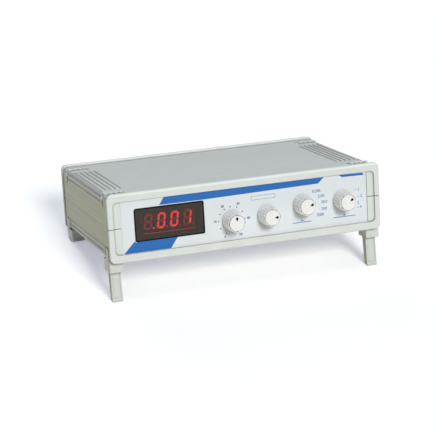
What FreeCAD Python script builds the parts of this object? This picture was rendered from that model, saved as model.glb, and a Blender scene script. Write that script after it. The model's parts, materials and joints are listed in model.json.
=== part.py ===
import FreeCAD
import Part
import math
import os

V = FreeCAD.Vector

# Body coordinates in mm: x to the right, y to the rear, z up.
# The front bezel face is y = 0 and the lowest bezel edge is z = 0.
# The finished pieces are tipped back by STANCE onto the tilt legs at the end.

CASE_W = 258.0
CASE_H = 62.0
CASE_D = 166.0
WALL = 2.5

BEZEL_DEPTH = 4.4
BEZEL_R = 5.0
BEZEL_EDGE = 0.8
BEZEL_SIDE = 5.0
BEZEL_TOP = 7.2
BEZEL_INNER_R = 4.0
STRIP_W = 7.0
STRIP_SET = 1.2
LIP = 2.0
SPLIT_GAP = 0.25

BODY_IN_X = 1.0
BODY_IN_Z = 2.5
BODY_R = 3.5

PLATE_T = 2.0
PLATE_FIT = 0.05
PLATE_EDGE = 2.6
PLATE_PAST = 4.2
PANEL_FIT = 0.2
RAIL = 1.9
OVERLAY_T = 0.25

RIB_PITCH = 4.6
RIB_COUNT = 5
RIB_IN = 24.8
RIB_HALF = 1.7
RIB_H = 0.9
RIB_START = 35.0
RIB_RAMP = 1.8
RIB_FACES = 3
SIDE_RIB_COUNT = 2
SIDE_RIB_START = 25.0
SIDE_RIB_IN = 6.4
SIDE_RIB_H = 0.7
LOBE_Y = 19.5
LOBE_R = 2.3
LOBE_H = 1.3
LOBE_BAR = 2.4
LOBE_COUNT = 4
SIDE_LOBE_COUNT = 2
LOBE_SIDES = 6
TRENCH = 0.9

STANCE = 11.0
FOOT_W = 12.8
FOOT_H = 9.0
FOOT_Y = (5.0, 23.0)
CHEEK_T = 1.8
CHEEK_TOP = 12.5
CHEEK_Y = (7.0, 15.0)
CHEEK_FIT = 0.1
EAR = 1.4
LEG_FIT = 0.15
HINGE_Y = 14.8
HINGE_Z = -4.8
LEG_T = 8.0
LEG_TIP_T = 6.4
LEG_LEAN = 4.0
LEG_RIM = 1.3
PIN_R = 1.5
HEEL_IN = 16.0
HEEL_LEN = 4.5
REAR_FOOT_IN = (23.0, 8.5)
REAR_CHEEK_IN = (16.5, 8.5)
PEG_R = 2.5

# Heights on the front and rear panels are counted from the panel's mid line.

WINDOW_IN = 12.2
WINDOW_W = 64.8
WINDOW_H = 30.2
WINDOW_RISE = 0.9
WINDOW_CLIP = 0.8
LENS_FIT = 0.15
FLANGE = 3.2
FLANGE_T = 1.45
DIGIT_IN = 14.0
DIGIT_PITCH = 12.1
DIGIT_COUNT = 4
DIGIT_RISE = 1.8
MODULE_RISE = 0.6
DIGIT_SET = 2.15
MODULE_W = 12.0
MODULE_H = 19.0
MODULE_D = 8.0
DIGIT_H = 14.2
DIGIT_W = 7.6
SEG_W = 1.9
SEG_T = 0.15
SEG_GAP = 0.12
POINT_R = 1.0
POINT_OUT = 1.75
SLANT = 8.0
STANDOFF_AF = 5.2
STANDOFF_OUT = 6.1
DISPLAY_BOARD_OUT = (12.0, 9.0)
DISPLAY_BOARD_IN = 3.0

# Each control's place: its share of the way from the window to the panel's right end, and its height.
CONTROLS = {
    "temperature": (0.1611, -5.6),
    "cell": (0.3752, -4.7),
    "range": (0.5943, 0.8),
    "function": (0.8440, 0.0),
}
POINTER_DEG = {"temperature": 90.0, "cell": 0.0, "range": 22.0, "function": 37.0}
POTS = ("temperature", "cell")
SWITCHES = ("range", "function")
SHAFT_R = 3.0
RUN = 0.05
BUSH_R = 4.6
BUSH_OUT = 3.95
HOLE_R = 4.75
WASHER_R = 7.5
WASHER_T = 0.6
NUT_T = 2.2
NUT_AF = 12.7
LUG_X = 8.0
POT_R = 12.0
POT_D = 10.0
TAG_DROP = 16.4
SWITCH_R = 11.5
WAFER_R = 13.4
SWITCH_D = 17.0
SWITCH_TAIL = 3.0
TERMINAL_R = 10.8
TERMINAL_L = 2.8
TERMINALS = 12
KNOB_R = 9.3
KNOB_TOP_R = 8.3
KNOB_BASE = 1.6
KNOB_GAP = 0.9
KNOB_L = 13.5
KNOB_ROOF = 2.0
FLUTES = 20
FLUTE_SHARE = 0.09
LAND = 0.74
CAP_R = 7.3
CAP_T = 1.6
CAP_PROUD = 1.0
DOT_OUT = 4.4
DOT_R = 1.3

BOARD_T = 1.6
SCREW_R = 1.25
SCREW_HEAD_R = 2.75
SCREW_HEAD_H = 2.0
SCREW_L = 6.0
SCREW_FREE = 0.3

CASE_SCREW_IN = 19.0
CASE_SCREW_Y = 30.0
BOSS_R = 4.5
CASE_SCREW_R = 1.5
CASE_HEAD_R = 3.1
CASE_HEAD_Z = (5.4, 8.0)
CASE_SCREW_UP = 10.0

# The main board stands between the transformer and the right-hand side wall.
CORE_IN = 23.0
CORE_W = 48.0
CORE_H = 40.0
CORE_T = 16.0
CORE_BACK = 54.0
CORE_LIFT = 2.0
CORE_LIMB = 8.0
CORE_TAB = 10.0
CORE_TAB_T = 1.2
COIL_OUT = 7.5
COIL_FIT = 0.3
BOARD_GAP = 8.0
BOARD_IN = 29.0
BOARD_FRONT = 42.0
BOARD_BACK = 34.0
BOARD_LIFT = 7.0
BOARD_HOLE_IN = 5.0
BOARD_POST_R = 3.5
CORE_POST_R = 4.0

# Places on the main board: from its left and front edges, or, where negative, from its right and rear ones.
CHIPS = (
    (24.0, 20.0, 36.0, 14.0),
    (-60.0, 18.0, 20.0, 8.0),
    (-60.0, 34.0, 20.0, 8.0),
    (-60.0, 50.0, 10.0, 8.0),
    (-40.0, 50.0, 10.0, 8.0),
    (-32.0, 18.0, 20.0, 8.0),
)
CHIP_Z = (0.8, 4.4)
CANS = (
    (14.0, -23.0, 8.0, 26.0),
    (33.0, -22.0, 6.3, 20.0),
    (50.0, -22.0, 6.3, 20.0),
    (-26.0, 34.0, 4.0, 11.0),
    (-16.0, 34.0, 4.0, 11.0),
)
REGULATORS = ((-74.0, -14.0), (-54.0, -14.0), (-34.0, -14.0))
REGULATOR_W = 10.0
REGULATOR_T = 4.4
REGULATOR_Z = (4.0, 13.0)
REGULATOR_TAB = (12.0, 19.0, 1.2)
REGULATOR_LEG = 0.8
SINK_W = 18.0
SINK_H = 24.0
SINK_T = 1.2
SINK_FIN = 6.6
HEADERS = ((2.0, 24.0, 18.0, 8.0), (-30.0, -32.0, 16.0, 7.0))
HEADER_H = 8.0
PLUG_LIFT = 3.0
CABLE_IN = 2.0
CABLE_W = 15.0
CABLE_Y = 12.0
CABLE_T = 1.0
PLUG_D = 6.0

INLET_IN = 41.0
FUSE_FROM_INLET = 30.0
SWITCH_FROM_INLET = 56.0
SOCKET_IN = 45.0
INLET_W = 26.8
INLET_H = 19.8
INLET_D = 17.0
CAVITY_D = 16.4
INLET_FLANGE = 2.1
INLET_FLANGE_T = 2.0
CAVITY_W = 24.2
CAVITY_H = 16.4
CAVITY_CUT = 3.5
PIN_W = 2.0
PIN_H = 4.0
PIN_PITCH = 7.0
PIN_RISE = 2.0
PIN_TIP = 3.0
EARTH_TIP = 1.5
TAG_L = 9.0
TAG_T = 0.8

ROCKER_W = 9.8
ROCKER_IN = 3.45
ROCKER_SET = 10.0
ROCKER_AXLE_R = 1.2
ROCKER_HALF = ((-4.0, 1.6), (-1.0, 5.0), (1.2, 7.9), (3.8, 7.2))
ROCKER_CROWN = 5.8
SWITCH_W = 12.8
SWITCH_H = 19.0
SWITCH_BODY_D = 15.0
SWITCH_TAG_Z = 5.5
WELL_D = 10.0

FUSE_R = 2.6
FUSE_L = 20.0
HOLDER_R = 6.0
HOLDER_D = 19.0
HOLDER_BORE_R = 5.15
FUSE_CAP_R = 6.8
FUSE_CAP_L = 6.4

SOCKET_R = 4.8
SOCKET_BORE_R = 4.1
SOCKET_L = 12.0
SOCKET_D = 12.0
STUD_OUT = 8.6
STUD_R = 0.95
CORE_PIN_R = 1.0

# Small round pieces have this many flat sides, larger or more visible ones the next two,
# and a rounded corner the last.
FEW = 6
SOME = 10
MANY = 16
CORNER_FLATS = 4

HALF_W = CASE_W / 2
SPLIT_Z = CASE_H / 2
BODY_X = HALF_W - BODY_IN_X
BODY_LOW = BODY_IN_Z
BODY_TOP = CASE_H - BODY_IN_Z
INNER_X = BODY_X - WALL
FLOOR = BODY_LOW + WALL
ROOF = BODY_TOP - WALL
OPEN_X = HALF_W - BEZEL_SIDE
OPEN_Z = (BEZEL_TOP, CASE_H - BEZEL_TOP)
PANEL_X = OPEN_X - STRIP_W
PLATE_X = PANEL_X + PLATE_PAST
PLATE_Z = (OPEN_Z[0] - PLATE_EDGE + 0.2, OPEN_Z[1] + PLATE_EDGE - 0.2)
PLATE_Y = (LIP + PLATE_FIT, LIP + PLATE_FIT + PLATE_T)
GROOVE_BACK = LIP + PLATE_T + 2 * PLATE_FIT
RAIL_BACK = GROOVE_BACK + RAIL
OVERLAY_Y = PLATE_Y[0] - OVERLAY_T
REAR_IN = CASE_D - PLATE_Y[1]
REAR_OUT = CASE_D - PLATE_Y[0]

HEEL_Y = CASE_D - HEEL_IN
REAR_FOOT = (CASE_D - REAR_FOOT_IN[0], CASE_D - REAR_FOOT_IN[1])
REAR_CHEEK = (CASE_D - REAR_CHEEK_IN[0], CASE_D - REAR_CHEEK_IN[1])

WINDOW_X = (WINDOW_IN - PANEL_X, WINDOW_IN - PANEL_X + WINDOW_W)
WINDOW_Z = (SPLIT_Z + WINDOW_RISE - WINDOW_H / 2, SPLIT_Z + WINDOW_RISE + WINDOW_H / 2)
DIGIT_X = tuple(WINDOW_X[0] + DIGIT_IN + DIGIT_PITCH * i for i in range(DIGIT_COUNT))
DIGIT_Z = SPLIT_Z + DIGIT_RISE
MODULE_Z = SPLIT_Z + MODULE_RISE
DIGIT_FACE = PLATE_Y[1] + DIGIT_SET
DISPLAY_BOARD_Y = DIGIT_FACE + MODULE_D

FREE_W = PANEL_X - WINDOW_X[1]
KNOB_XZ = {name: (WINDOW_X[1] + share * FREE_W, SPLIT_Z + rise) for name, (share, rise) in CONTROLS.items()}
BUSH_NOSE = PLATE_Y[0] - BUSH_OUT
KNOB_RIM = OVERLAY_Y - KNOB_GAP
KNOB_FRONT = KNOB_RIM - KNOB_L
KNOB_BORE_END = KNOB_FRONT + KNOB_ROOF
CAP_BACK = KNOB_FRONT + CAP_T - CAP_PROUD
CAP_FRONT = KNOB_FRONT - CAP_PROUD

CORE = (CORE_IN - HALF_W, CORE_IN - HALF_W + CORE_W, CASE_D - CORE_BACK - CORE_T, CASE_D - CORE_BACK)
CORE_Z = (FLOOR + CORE_LIFT, FLOOR + CORE_LIFT + CORE_H)
BOARD = (CORE[1] + BOARD_GAP, HALF_W - BOARD_IN, BOARD_FRONT, CASE_D - BOARD_BACK)
BOARD_Z = FLOOR + BOARD_LIFT
BOARD_TOP = BOARD_Z + BOARD_T
CABLE_X = (BOARD[0] + CABLE_IN, BOARD[0] + CABLE_IN + CABLE_W)

INLET_XZ = (INLET_IN - HALF_W, SPLIT_Z)
FUSE_XZ = (INLET_XZ[0] + FUSE_FROM_INLET, SPLIT_Z)
SWITCH_XZ = (INLET_XZ[0] + SWITCH_FROM_INLET, SPLIT_Z)
SOCKET_XZ = (HALF_W - SOCKET_IN, SPLIT_Z)
ROCKER_Y = REAR_OUT - ROCKER_IN


def box(x0, x1, y0, y1, z0, z1):
    return Part.makeBox(x1 - x0, y1 - y0, z1 - z0, V(x0, y0, z0))


def plate(points):
    return Part.Face(Part.makePolygon(points + [points[0]]))


def flats(r, sides):
    """Corner radius of a many-sided hole whose flats lie r from its centre."""
    return r / math.cos(math.pi / sides)


def circle_points(centre, u, v, r, sides):
    points = []
    for i in range(sides):
        a = 2 * math.pi * (i + 0.5) / sides
        points.append(centre + u * (r * math.cos(a)) + v * (r * math.sin(a)))
    return points


def rod(x, z, y0, y1, r, sides=SOME):
    return plate(circle_points(V(x, y0, z), V(1, 0, 0), V(0, 0, 1), r, sides)).extrude(V(0, y1 - y0, 0))


def bore(x, z, y0, y1, r, sides=SOME):
    return rod(x, z, y0, y1, flats(r, sides), sides)


def round_rod(x, z, y0, y1, r):
    return Part.makeCylinder(r, y1 - y0, V(x, y0, z), V(0, 1, 0))


def round_axle(x0, x1, y, z, r):
    return Part.makeCylinder(r, x1 - x0, V(x0, y, z), V(1, 0, 0))


def post(x, y, z0, z1, r, sides=FEW):
    return plate(circle_points(V(x, y, z0), V(1, 0, 0), V(0, 1, 0), r, sides)).extrude(V(0, 0, z1 - z0))


def well(x, y, z0, z1, r, sides=FEW):
    return post(x, y, z0, z1, flats(r, sides), sides)


def axle(x0, x1, y, z, r, sides=FEW):
    return plate(circle_points(V(x0, y, z), V(0, 1, 0), V(0, 0, 1), r, sides)).extrude(V(x1 - x0, 0, 0))


def ring(x, z, y0, y1, r_out, r_in, sides=SOME):
    return rod(x, z, y0, y1, r_out, sides).cut(bore(x, z, y0 - 1, y1 + 1, r_in, sides))


def tapered(near, far):
    """A solid with flat sides between two outlines of the same form and different size."""
    faces = [plate(near), plate(far)]
    for i in range(len(near)):
        faces.append(plate([near[i - 1], near[i], far[i], far[i - 1]]))
    return Part.makeSolid(Part.makeShell(faces))


def cone(x, z, y0, r0, y1, r1, sides):
    """A round piece that goes from radius r0 at y0 to r1 at y1."""
    near = circle_points(V(x, y0, z), V(1, 0, 0), V(0, 0, 1), r0, sides)
    far = circle_points(V(x, y1, z), V(1, 0, 0), V(0, 0, 1), r1, sides)
    return tapered(near, far)


def hexagon(x, z, y0, y1, across, r_hole):
    return rod(x, z, y0, y1, across / math.sqrt(3), 6).cut(bore(x, z, y0 - 1, y1 + 1, r_hole))


def deep_edges(block):
    return [e for e in block.Edges if e.BoundBox.XLength < 1e-6 and e.BoundBox.ZLength < 1e-6]


def rounded(x0, x1, z0, z1, y0, y1, r):
    points = []
    corners = ((x1 - r, z1 - r), (x0 + r, z1 - r), (x0 + r, z0 + r), (x1 - r, z0 + r))
    for quarter, (cx, cz) in enumerate(corners):
        for i in range(CORNER_FLATS + 1):
            a = math.pi / 2 * (quarter + i / CORNER_FLATS)
            points.append(V(cx + r * math.cos(a), y0, cz + r * math.sin(a)))
    return plate(points).extrude(V(0, y1 - y0, 0))


def clipped(x0, x1, z0, z1, y0, y1, c):
    block = box(x0, x1, y0, y1, z0, z1)
    return block.makeChamfer(c, deep_edges(block))


def side_profile(points, x0, x1):
    return plate([V(x0, y, z) for y, z in points]).extrude(V(x1 - x0, 0, 0))


def turned(shape, x, z, degrees):
    out = shape.copy()
    out.rotate(V(x, 0, z), V(0, -1, 0), degrees)
    return out


def flip_x(shape):
    return shape.mirror(V(0, 0, 0), V(1, 0, 0))


def flip_y(shape):
    return shape.mirror(V(0, CASE_D / 2, 0), V(0, 1, 0))


def flip_z(shape):
    return shape.mirror(V(0, 0, SPLIT_Z), V(0, 0, 1))


def both_sides(shape):
    return [shape, flip_x(shape)]


def four_corners(shape):
    return both_sides(shape) + both_sides(flip_y(shape))


def joined(shapes):
    return shapes[0].fuse(shapes[1:]).removeSplitter()


def group(shapes):
    return Part.makeCompound(shapes)


# Case halves


def rib_section(height):
    """A rib's crest as (offset, height) points on an arc, closed below the case's surface."""
    r = (RIB_HALF * RIB_HALF + height * height) / (2 * height)
    half_angle = math.asin(RIB_HALF / r)
    points = [(-RIB_HALF, -BODY_IN_Z / 4)]
    for i in range(RIB_FACES + 1):
        a = half_angle * (2.0 * i / RIB_FACES - 1)
        points.append((r * math.sin(a), height - r + r * math.cos(a)))
    points.append((RIB_HALF, -BODY_IN_Z / 4))
    return points


def top_rib(x):
    y0 = RIB_START
    y1 = CASE_D - RIB_START
    bar = plate([V(x + u, y0, BODY_TOP + w) for u, w in rib_section(RIB_H)]).extrude(V(0, y1 - y0, 0))
    ramp = RIB_RAMP + 1
    high = BODY_TOP + RIB_H * ramp / RIB_RAMP
    under = [(y0, BODY_TOP - WALL), (y1, BODY_TOP - WALL)]
    over = [(y1, BODY_TOP), (y1 - ramp, high), (y0 + ramp, high), (y0, BODY_TOP)]
    return bar.common(side_profile(under + over, x - RIB_PITCH, x + RIB_PITCH))


def side_rib(z):
    y0 = SIDE_RIB_START
    y1 = CASE_D - SIDE_RIB_START
    bar = plate([V(BODY_X + w, y0, z + u) for u, w in rib_section(SIDE_RIB_H)]).extrude(V(0, y1 - y0, 0))
    ramp = RIB_RAMP + 1
    far = BODY_X + SIDE_RIB_H * ramp / RIB_RAMP
    ends = [(INNER_X, y0), (INNER_X, y1), (BODY_X, y1), (far, y1 - ramp), (far, y0 + ramp), (BODY_X, y0)]
    return bar.common(plate([V(x, y, z - RIB_PITCH) for x, y in ends]).extrude(V(0, 0, 2 * RIB_PITCH)))


def half_ribs():
    ribs = []
    for i in range(RIB_COUNT):
        ribs += both_sides(top_rib(HALF_W - RIB_IN + i * RIB_PITCH))
    for i in range(SIDE_RIB_COUNT):
        ribs += both_sides(side_rib(CASE_H - SIDE_RIB_IN - i * RIB_PITCH))
    return ribs


def top_lobes():
    last = HALF_W - RIB_IN + RIB_PITCH * (RIB_COUNT - 1) + 1.6
    first = last - RIB_PITCH * (LOBE_COUNT - 1)
    z0 = BODY_TOP - WALL / 2
    z1 = BODY_TOP + LOBE_H
    parts = [box(first, last, LOBE_Y - LOBE_BAR / 2, LOBE_Y + LOBE_BAR / 2, z0, z1)]
    for i in range(LOBE_COUNT):
        parts.append(post(first + i * RIB_PITCH, LOBE_Y, z0, z1, LOBE_R, LOBE_SIDES))
    return joined(parts)


def side_lobes():
    x0 = BODY_X - WALL / 2
    x1 = HALF_W - 0.1
    low = CASE_H - SIDE_RIB_IN - RIB_PITCH * (SIDE_LOBE_COUNT - 1)
    high = CASE_H - SIDE_RIB_IN
    parts = [box(x0, x1, LOBE_Y - LOBE_BAR / 2, LOBE_Y + LOBE_BAR / 2, low, high)]
    for i in range(SIDE_LOBE_COUNT):
        parts.append(axle(x0, x1, LOBE_Y, low + i * RIB_PITCH, LOBE_R, LOBE_SIDES))
    return joined(parts)


def top_trenches():
    """Sunk strips before and behind the scalloped bar at a top corner."""
    x0 = HALF_W - RIB_IN + RIB_PITCH * 0.6
    edge = LOBE_R + 0.4
    front = box(x0, BODY_X + 1, BEZEL_DEPTH + 3.0, LOBE_Y - edge, BODY_TOP - TRENCH, CASE_H)
    back = box(x0, BODY_X + 1, LOBE_Y + edge, LOBE_Y + edge + 2.8, BODY_TOP - TRENCH, CASE_H)
    return [front, back]


def split_groove():
    """The thin shadow line where the two halves meet, round the outside."""
    low = SPLIT_Z - SPLIT_GAP
    high = SPLIT_Z + SPLIT_GAP
    side = box(HALF_W - 0.6, HALF_W + 1, -1, BEZEL_DEPTH + 0.1, low, high)
    face = box(PANEL_X - 1, HALF_W + 1, -1, 0.5, low, high)
    strip = box(PANEL_X - 1, OPEN_X, -1, STRIP_SET + 0.4, low, high)
    body = box(BODY_X - 0.5, HALF_W + 1, BEZEL_DEPTH, CASE_D - BEZEL_DEPTH, low, high)
    out = both_sides(body)
    for piece in (side, face, strip):
        out += four_corners(piece)
    return out


def case_block():
    bezel = rounded(-HALF_W, HALF_W, 0, CASE_H, 0, BEZEL_DEPTH, BEZEL_R)
    bezel = bezel.makeChamfer(BEZEL_EDGE, [e for e in bezel.Edges if e.BoundBox.YMax < 0.01])
    body = rounded(-BODY_X, BODY_X, BODY_LOW, BODY_TOP, BEZEL_DEPTH - 1, CASE_D - BEZEL_DEPTH + 1, BODY_R)
    return joined([body, bezel, flip_y(bezel)])


def front_openings():
    lip = rounded(-OPEN_X, OPEN_X, OPEN_Z[0], OPEN_Z[1], -1, STRIP_SET, BEZEL_INNER_R)
    strip = box(-PANEL_X, PANEL_X, 0, LIP + 1, OPEN_Z[0], OPEN_Z[1])
    gx = PLATE_X + 0.2
    groove = box(-gx, gx, LIP, GROOVE_BACK, OPEN_Z[0] - PLATE_EDGE, OPEN_Z[1] + PLATE_EDGE)
    rail = box(-gx + 3, gx - 3, LIP, RAIL_BACK + 1, OPEN_Z[0], OPEN_Z[1])
    return [lip, strip, groove, rail]


def case_tube():
    holes = [box(-INNER_X, INNER_X, RAIL_BACK, CASE_D - RAIL_BACK, FLOOR, ROOF)]
    for hole in front_openings():
        holes += [hole, flip_y(hole)]
    return case_block().cut(holes + split_groove())


def case_screw_places():
    x = HALF_W - CASE_SCREW_IN
    return [(i * x, y) for i in (-1, 1) for y in (CASE_SCREW_Y, CASE_D - CASE_SCREW_Y)]


def tongue(room):
    """A tab along each side of the lower half, which stands in a rebate of the upper one."""
    y0 = RAIL_BACK + 4 - room
    y1 = CASE_D - RAIL_BACK - 4 + room
    tab = box(INNER_X - 0.01, INNER_X + 1.1 + room, y0, y1, SPLIT_Z - 0.5, SPLIT_Z + 2 + room)
    return both_sides(tab)


def top_cover():
    slab = box(-HALF_W - 5, HALF_W + 5, -5, CASE_D + 5, SPLIT_Z, CASE_H + 5)
    shape = case_tube().common(slab).fuse(half_ribs())
    trenches = []
    for trench in top_trenches():
        trenches += four_corners(trench)
    shape = shape.cut(trenches)
    added = four_corners(top_lobes()) + four_corners(side_lobes())
    holes = tongue(LENS_FIT)
    for x, y in case_screw_places():
        added.append(post(x, y, SPLIT_Z + 0.1, BODY_TOP - 1, BOSS_R))
        holes.append(well(x, y, SPLIT_Z, SPLIT_Z + CASE_SCREW_UP + 2, CASE_SCREW_R + RUN))
    return shape.fuse(added).cut(holes).removeSplitter()


def foot_recesses():
    out = []
    x0 = HALF_W - CHEEK_T - RUN
    for y0, y1 in (CHEEK_Y, REAR_CHEEK):
        out += both_sides(box(x0, HALF_W + 1, y0 - CHEEK_FIT, y1 + CHEEK_FIT, -1, CHEEK_TOP + 0.15))
    return out


def peg_places():
    x = HALF_W - FOOT_W / 2
    return ((x, HINGE_Y), (x, (REAR_FOOT[0] + REAR_FOOT[1]) / 2 - 1.5))


def base_shell():
    slab = box(-HALF_W - 5, HALF_W + 5, -5, CASE_D + 5, -5, SPLIT_Z)
    shape = case_tube().common(slab)
    shape = shape.fuse([flip_z(rib) for rib in half_ribs()])
    shape = shape.fuse([flip_z(lobe) for lobe in four_corners(side_lobes())])
    shape = shape.cut(foot_recesses())
    added = tongue(0.0)
    holes = []
    for x, y in case_screw_places():
        added.append(post(x, y, FLOOR - 1, SPLIT_Z - 0.1, BOSS_R))
        holes.append(well(x, y, -1, CASE_HEAD_Z[1], CASE_HEAD_R + SCREW_FREE))
        holes.append(well(x, y, CASE_HEAD_Z[1] - 1, SPLIT_Z + 1, CASE_SCREW_R + SCREW_FREE))
    for x, y in board_holes():
        added.append(post(x, y, FLOOR - 1, BOARD_Z, BOARD_POST_R))
        holes.append(well(x, y, FLOOR + 1.5, BOARD_Z + 1, SCREW_R + RUN))
    for x, y in core_holes():
        added.append(post(x, y, FLOOR - 1, CORE_Z[0], CORE_POST_R))
        holes.append(well(x, y, BODY_LOW + 0.7, CORE_Z[0] + 1, SCREW_R + RUN))
    for x, y in peg_places():
        holes += both_sides(well(x, y, 0, FLOOR + 1, PEG_R + RUN))
    return shape.fuse(added).cut(holes).removeSplitter()


# Panels


def window_cut(room, y0, y1):
    x0, x1 = WINDOW_X
    z0, z1 = WINDOW_Z
    return clipped(x0 - room, x1 + room, z0 - room, z1 + room, y0, y1, WINDOW_CLIP)


def control_holes(y0, y1):
    return [bore(x, z, y0, y1, HOLE_R) for x, z in KNOB_XZ.values()]


def rear_hole(place, width, height):
    x, z = place
    w = width / 2 + PANEL_FIT
    h = height / 2 + PANEL_FIT
    return box(x - w, x + w, REAR_IN - 1, REAR_OUT + 1, z - h, z + h)


def front_panel():
    y0, y1 = PLATE_Y
    sheet = box(-PLATE_X, PLATE_X, y0, y1, PLATE_Z[0], PLATE_Z[1])
    cuts = control_holes(y0 - 1, y1 + 1) + [window_cut(0, y0 - 1, y1 + 1)]
    for x, z in KNOB_XZ.values():
        cuts.append(box(x - LUG_X - 1.1, x - LUG_X + 1.1, y0 - 1, y1 + 1, z - 0.8, z + 0.8))
    return sheet.cut(cuts)


def front_overlay():
    y0 = OVERLAY_Y
    y1 = PLATE_Y[0]
    film = box(-PANEL_X + 0.2, PANEL_X - 0.2, y0, y1, OPEN_Z[0] + 0.2, OPEN_Z[1] - 0.2)
    return film.cut(control_holes(y0 - 1, y1 + 1) + [window_cut(0, y0 - 1, y1 + 1)])


def rear_panel():
    sheet = box(-PLATE_X, PLATE_X, REAR_IN, REAR_OUT, PLATE_Z[0], PLATE_Z[1])
    cuts = [rear_hole(INLET_XZ, INLET_W, INLET_H), rear_hole(SWITCH_XZ, SWITCH_W, SWITCH_H)]
    for (x, z), r in ((FUSE_XZ, HOLDER_R + 0.1), (SOCKET_XZ, SOCKET_R + RUN)):
        cuts.append(bore(x, z, REAR_IN - 1, REAR_OUT + 1, r))
    return sheet.cut(cuts)


# Display


def flange_block(y0, y1):
    x0, x1 = WINDOW_X
    z0, z1 = WINDOW_Z
    return box(x0 - FLANGE, x1 + FLANGE, y0, y1, z0 - FLANGE, z1 + FLANGE)


def display_filter():
    y = PLATE_Y[1]
    return joined([window_cut(-LENS_FIT, OVERLAY_Y - 0.1, y + 1), flange_block(y, y + FLANGE_T)])


def display_shroud():
    y0 = PLATE_Y[1] + FLANGE_T
    y1 = DISPLAY_BOARD_Y
    hollow = box(WINDOW_X[0], WINDOW_X[1], y0 + 1.4, y1 + 1, WINDOW_Z[0], WINDOW_Z[1])
    a = DIGIT_X[0] - MODULE_W / 2 - 0.4
    b = DIGIT_X[-1] + MODULE_W / 2 + 0.4
    half = MODULE_H / 2 + 0.3
    port = box(a, b, y0 - 1, y1, MODULE_Z - half, MODULE_Z + half)
    return flange_block(y0, y1).cut([hollow, port])


def digit_modules():
    out = []
    half = MODULE_W / 2
    tall = MODULE_H / 2
    for x in DIGIT_X:
        out.append(box(x - half, x + half, DIGIT_FACE, DISPLAY_BOARD_Y, MODULE_Z - tall, MODULE_Z + tall))
    return group(out)


def bar_points(u0, w0, u1, w1):
    """Outline of a bar with pointed ends from (u0, w0) to (u1, w1)."""
    along = math.hypot(u1 - u0, w1 - w0)
    du = (u1 - u0) / along * SEG_W / 2
    dw = (w1 - w0) / along * SEG_W / 2
    left = [(u0 + du - dw, w0 + dw + du), (u1 - du - dw, w1 - dw + du)]
    right = [(u1 - du + dw, w1 - dw - du), (u0 + du + dw, w0 + dw - du)]
    return [(u0, w0)] + left + [(u1, w1)] + right


def lean(s):
    return s * math.tan(math.radians(SLANT))


def segment(x, name):
    w = (DIGIT_W - SEG_W) / 2
    h = (DIGIT_H - SEG_W) / 2
    g = SEG_GAP
    spans = {
        "a": (-w + g, h, w - g, h),
        "g": (-w + g, 0, w - g, 0),
        "d": (-w + g, -h, w - g, -h),
        "f": (-w, g, -w, h - g),
        "b": (w, g, w, h - g),
        "e": (-w, -h + g, -w, -g),
        "c": (w, -h + g, w, -g),
    }
    points = [V(x + u + lean(s), DIGIT_FACE - SEG_T, DIGIT_Z + s) for u, s in bar_points(*spans[name])]
    return plate(points).extrude(V(0, SEG_T, 0))


def point(x):
    h = (DIGIT_H - SEG_W) / 2
    px = x + DIGIT_W / 2 + POINT_OUT - lean(h)
    return rod(px, DIGIT_Z - h, DIGIT_FACE - SEG_T, DIGIT_FACE, POINT_R, SOME)


SHOWN = ("", "abcdef", "abcdef", "bc")
LIT_POINT = 0


def lit_segments():
    out = [point(DIGIT_X[LIT_POINT])]
    for x, names in zip(DIGIT_X, SHOWN):
        for name in names:
            out.append(segment(x, name))
    return group(out)


def dark_segments():
    out = []
    for i, x in enumerate(DIGIT_X):
        for name in "abcdefg":
            if name not in SHOWN[i]:
                out.append(segment(x, name))
        if i != LIT_POINT:
            out.append(point(x))
    return group(out)


def standoff_places():
    edge = DISPLAY_BOARD_IN + STANDOFF_AF / 2 + 0.6
    xs = (WINDOW_X[0] - STANDOFF_OUT, WINDOW_X[1] + STANDOFF_OUT)
    return [(x, z) for x in xs for z in (FLOOR + edge, ROOF - edge)]


def display_board():
    y0 = DISPLAY_BOARD_Y
    x0 = WINDOW_X[0] - DISPLAY_BOARD_OUT[0]
    x1 = WINDOW_X[1] + DISPLAY_BOARD_OUT[1]
    board = box(x0, x1, y0, y0 + BOARD_T, FLOOR + DISPLAY_BOARD_IN, ROOF - DISPLAY_BOARD_IN)
    return board.cut([bore(x, z, y0 - 1, y0 + 3, SCREW_R + SCREW_FREE, FEW) for x, z in standoff_places()])


def display_standoffs():
    out = []
    for x, z in standoff_places():
        bar = rod(x, z, PLATE_Y[1], DISPLAY_BOARD_Y, STANDOFF_AF / math.sqrt(3), 6)
        out.append(bar.cut(bore(x, z, PLATE_Y[1] + 1, DISPLAY_BOARD_Y + 1, SCREW_R + RUN, FEW)))
    return group(out)


# Controls


def lug(x, z):
    return box(x - LUG_X - 0.9, x - LUG_X + 0.9, PLATE_Y[0] + 0.4, PLATE_Y[1] + 0.5, z - 0.6, z + 0.6)


def control_body(x, z, body, bore_end):
    """A body behind the panel with its key lug and its threaded bush through the panel."""
    parts = body + [rod(x, z, BUSH_NOSE, PLATE_Y[1] + 1, BUSH_R), lug(x, z)]
    return joined(parts).cut(bore(x, z, BUSH_NOSE - 1, bore_end, SHAFT_R + RUN))


def pot_body(name):
    x, z = KNOB_XZ[name]
    y = PLATE_Y[1]
    can = rod(x, z, y, y + POT_D, POT_R)
    wing = box(x - 9.5, x + 9.5, y + 3.0, y + 4.6, z - 14.5, z - 9.0)
    return control_body(x, z, [can, wing], y + POT_D - 2)


def pot_terminals():
    out = []
    for name in POTS:
        x, z = KNOB_XZ[name]
        y = PLATE_Y[1] + 4.6
        for i in (-1, 0, 1):
            out.append(box(x + i * 5.0 - 1.0, x + i * 5.0 + 1.0, y, y + TAG_T, z - TAG_DROP, z - POT_R))
    return group(out)


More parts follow.
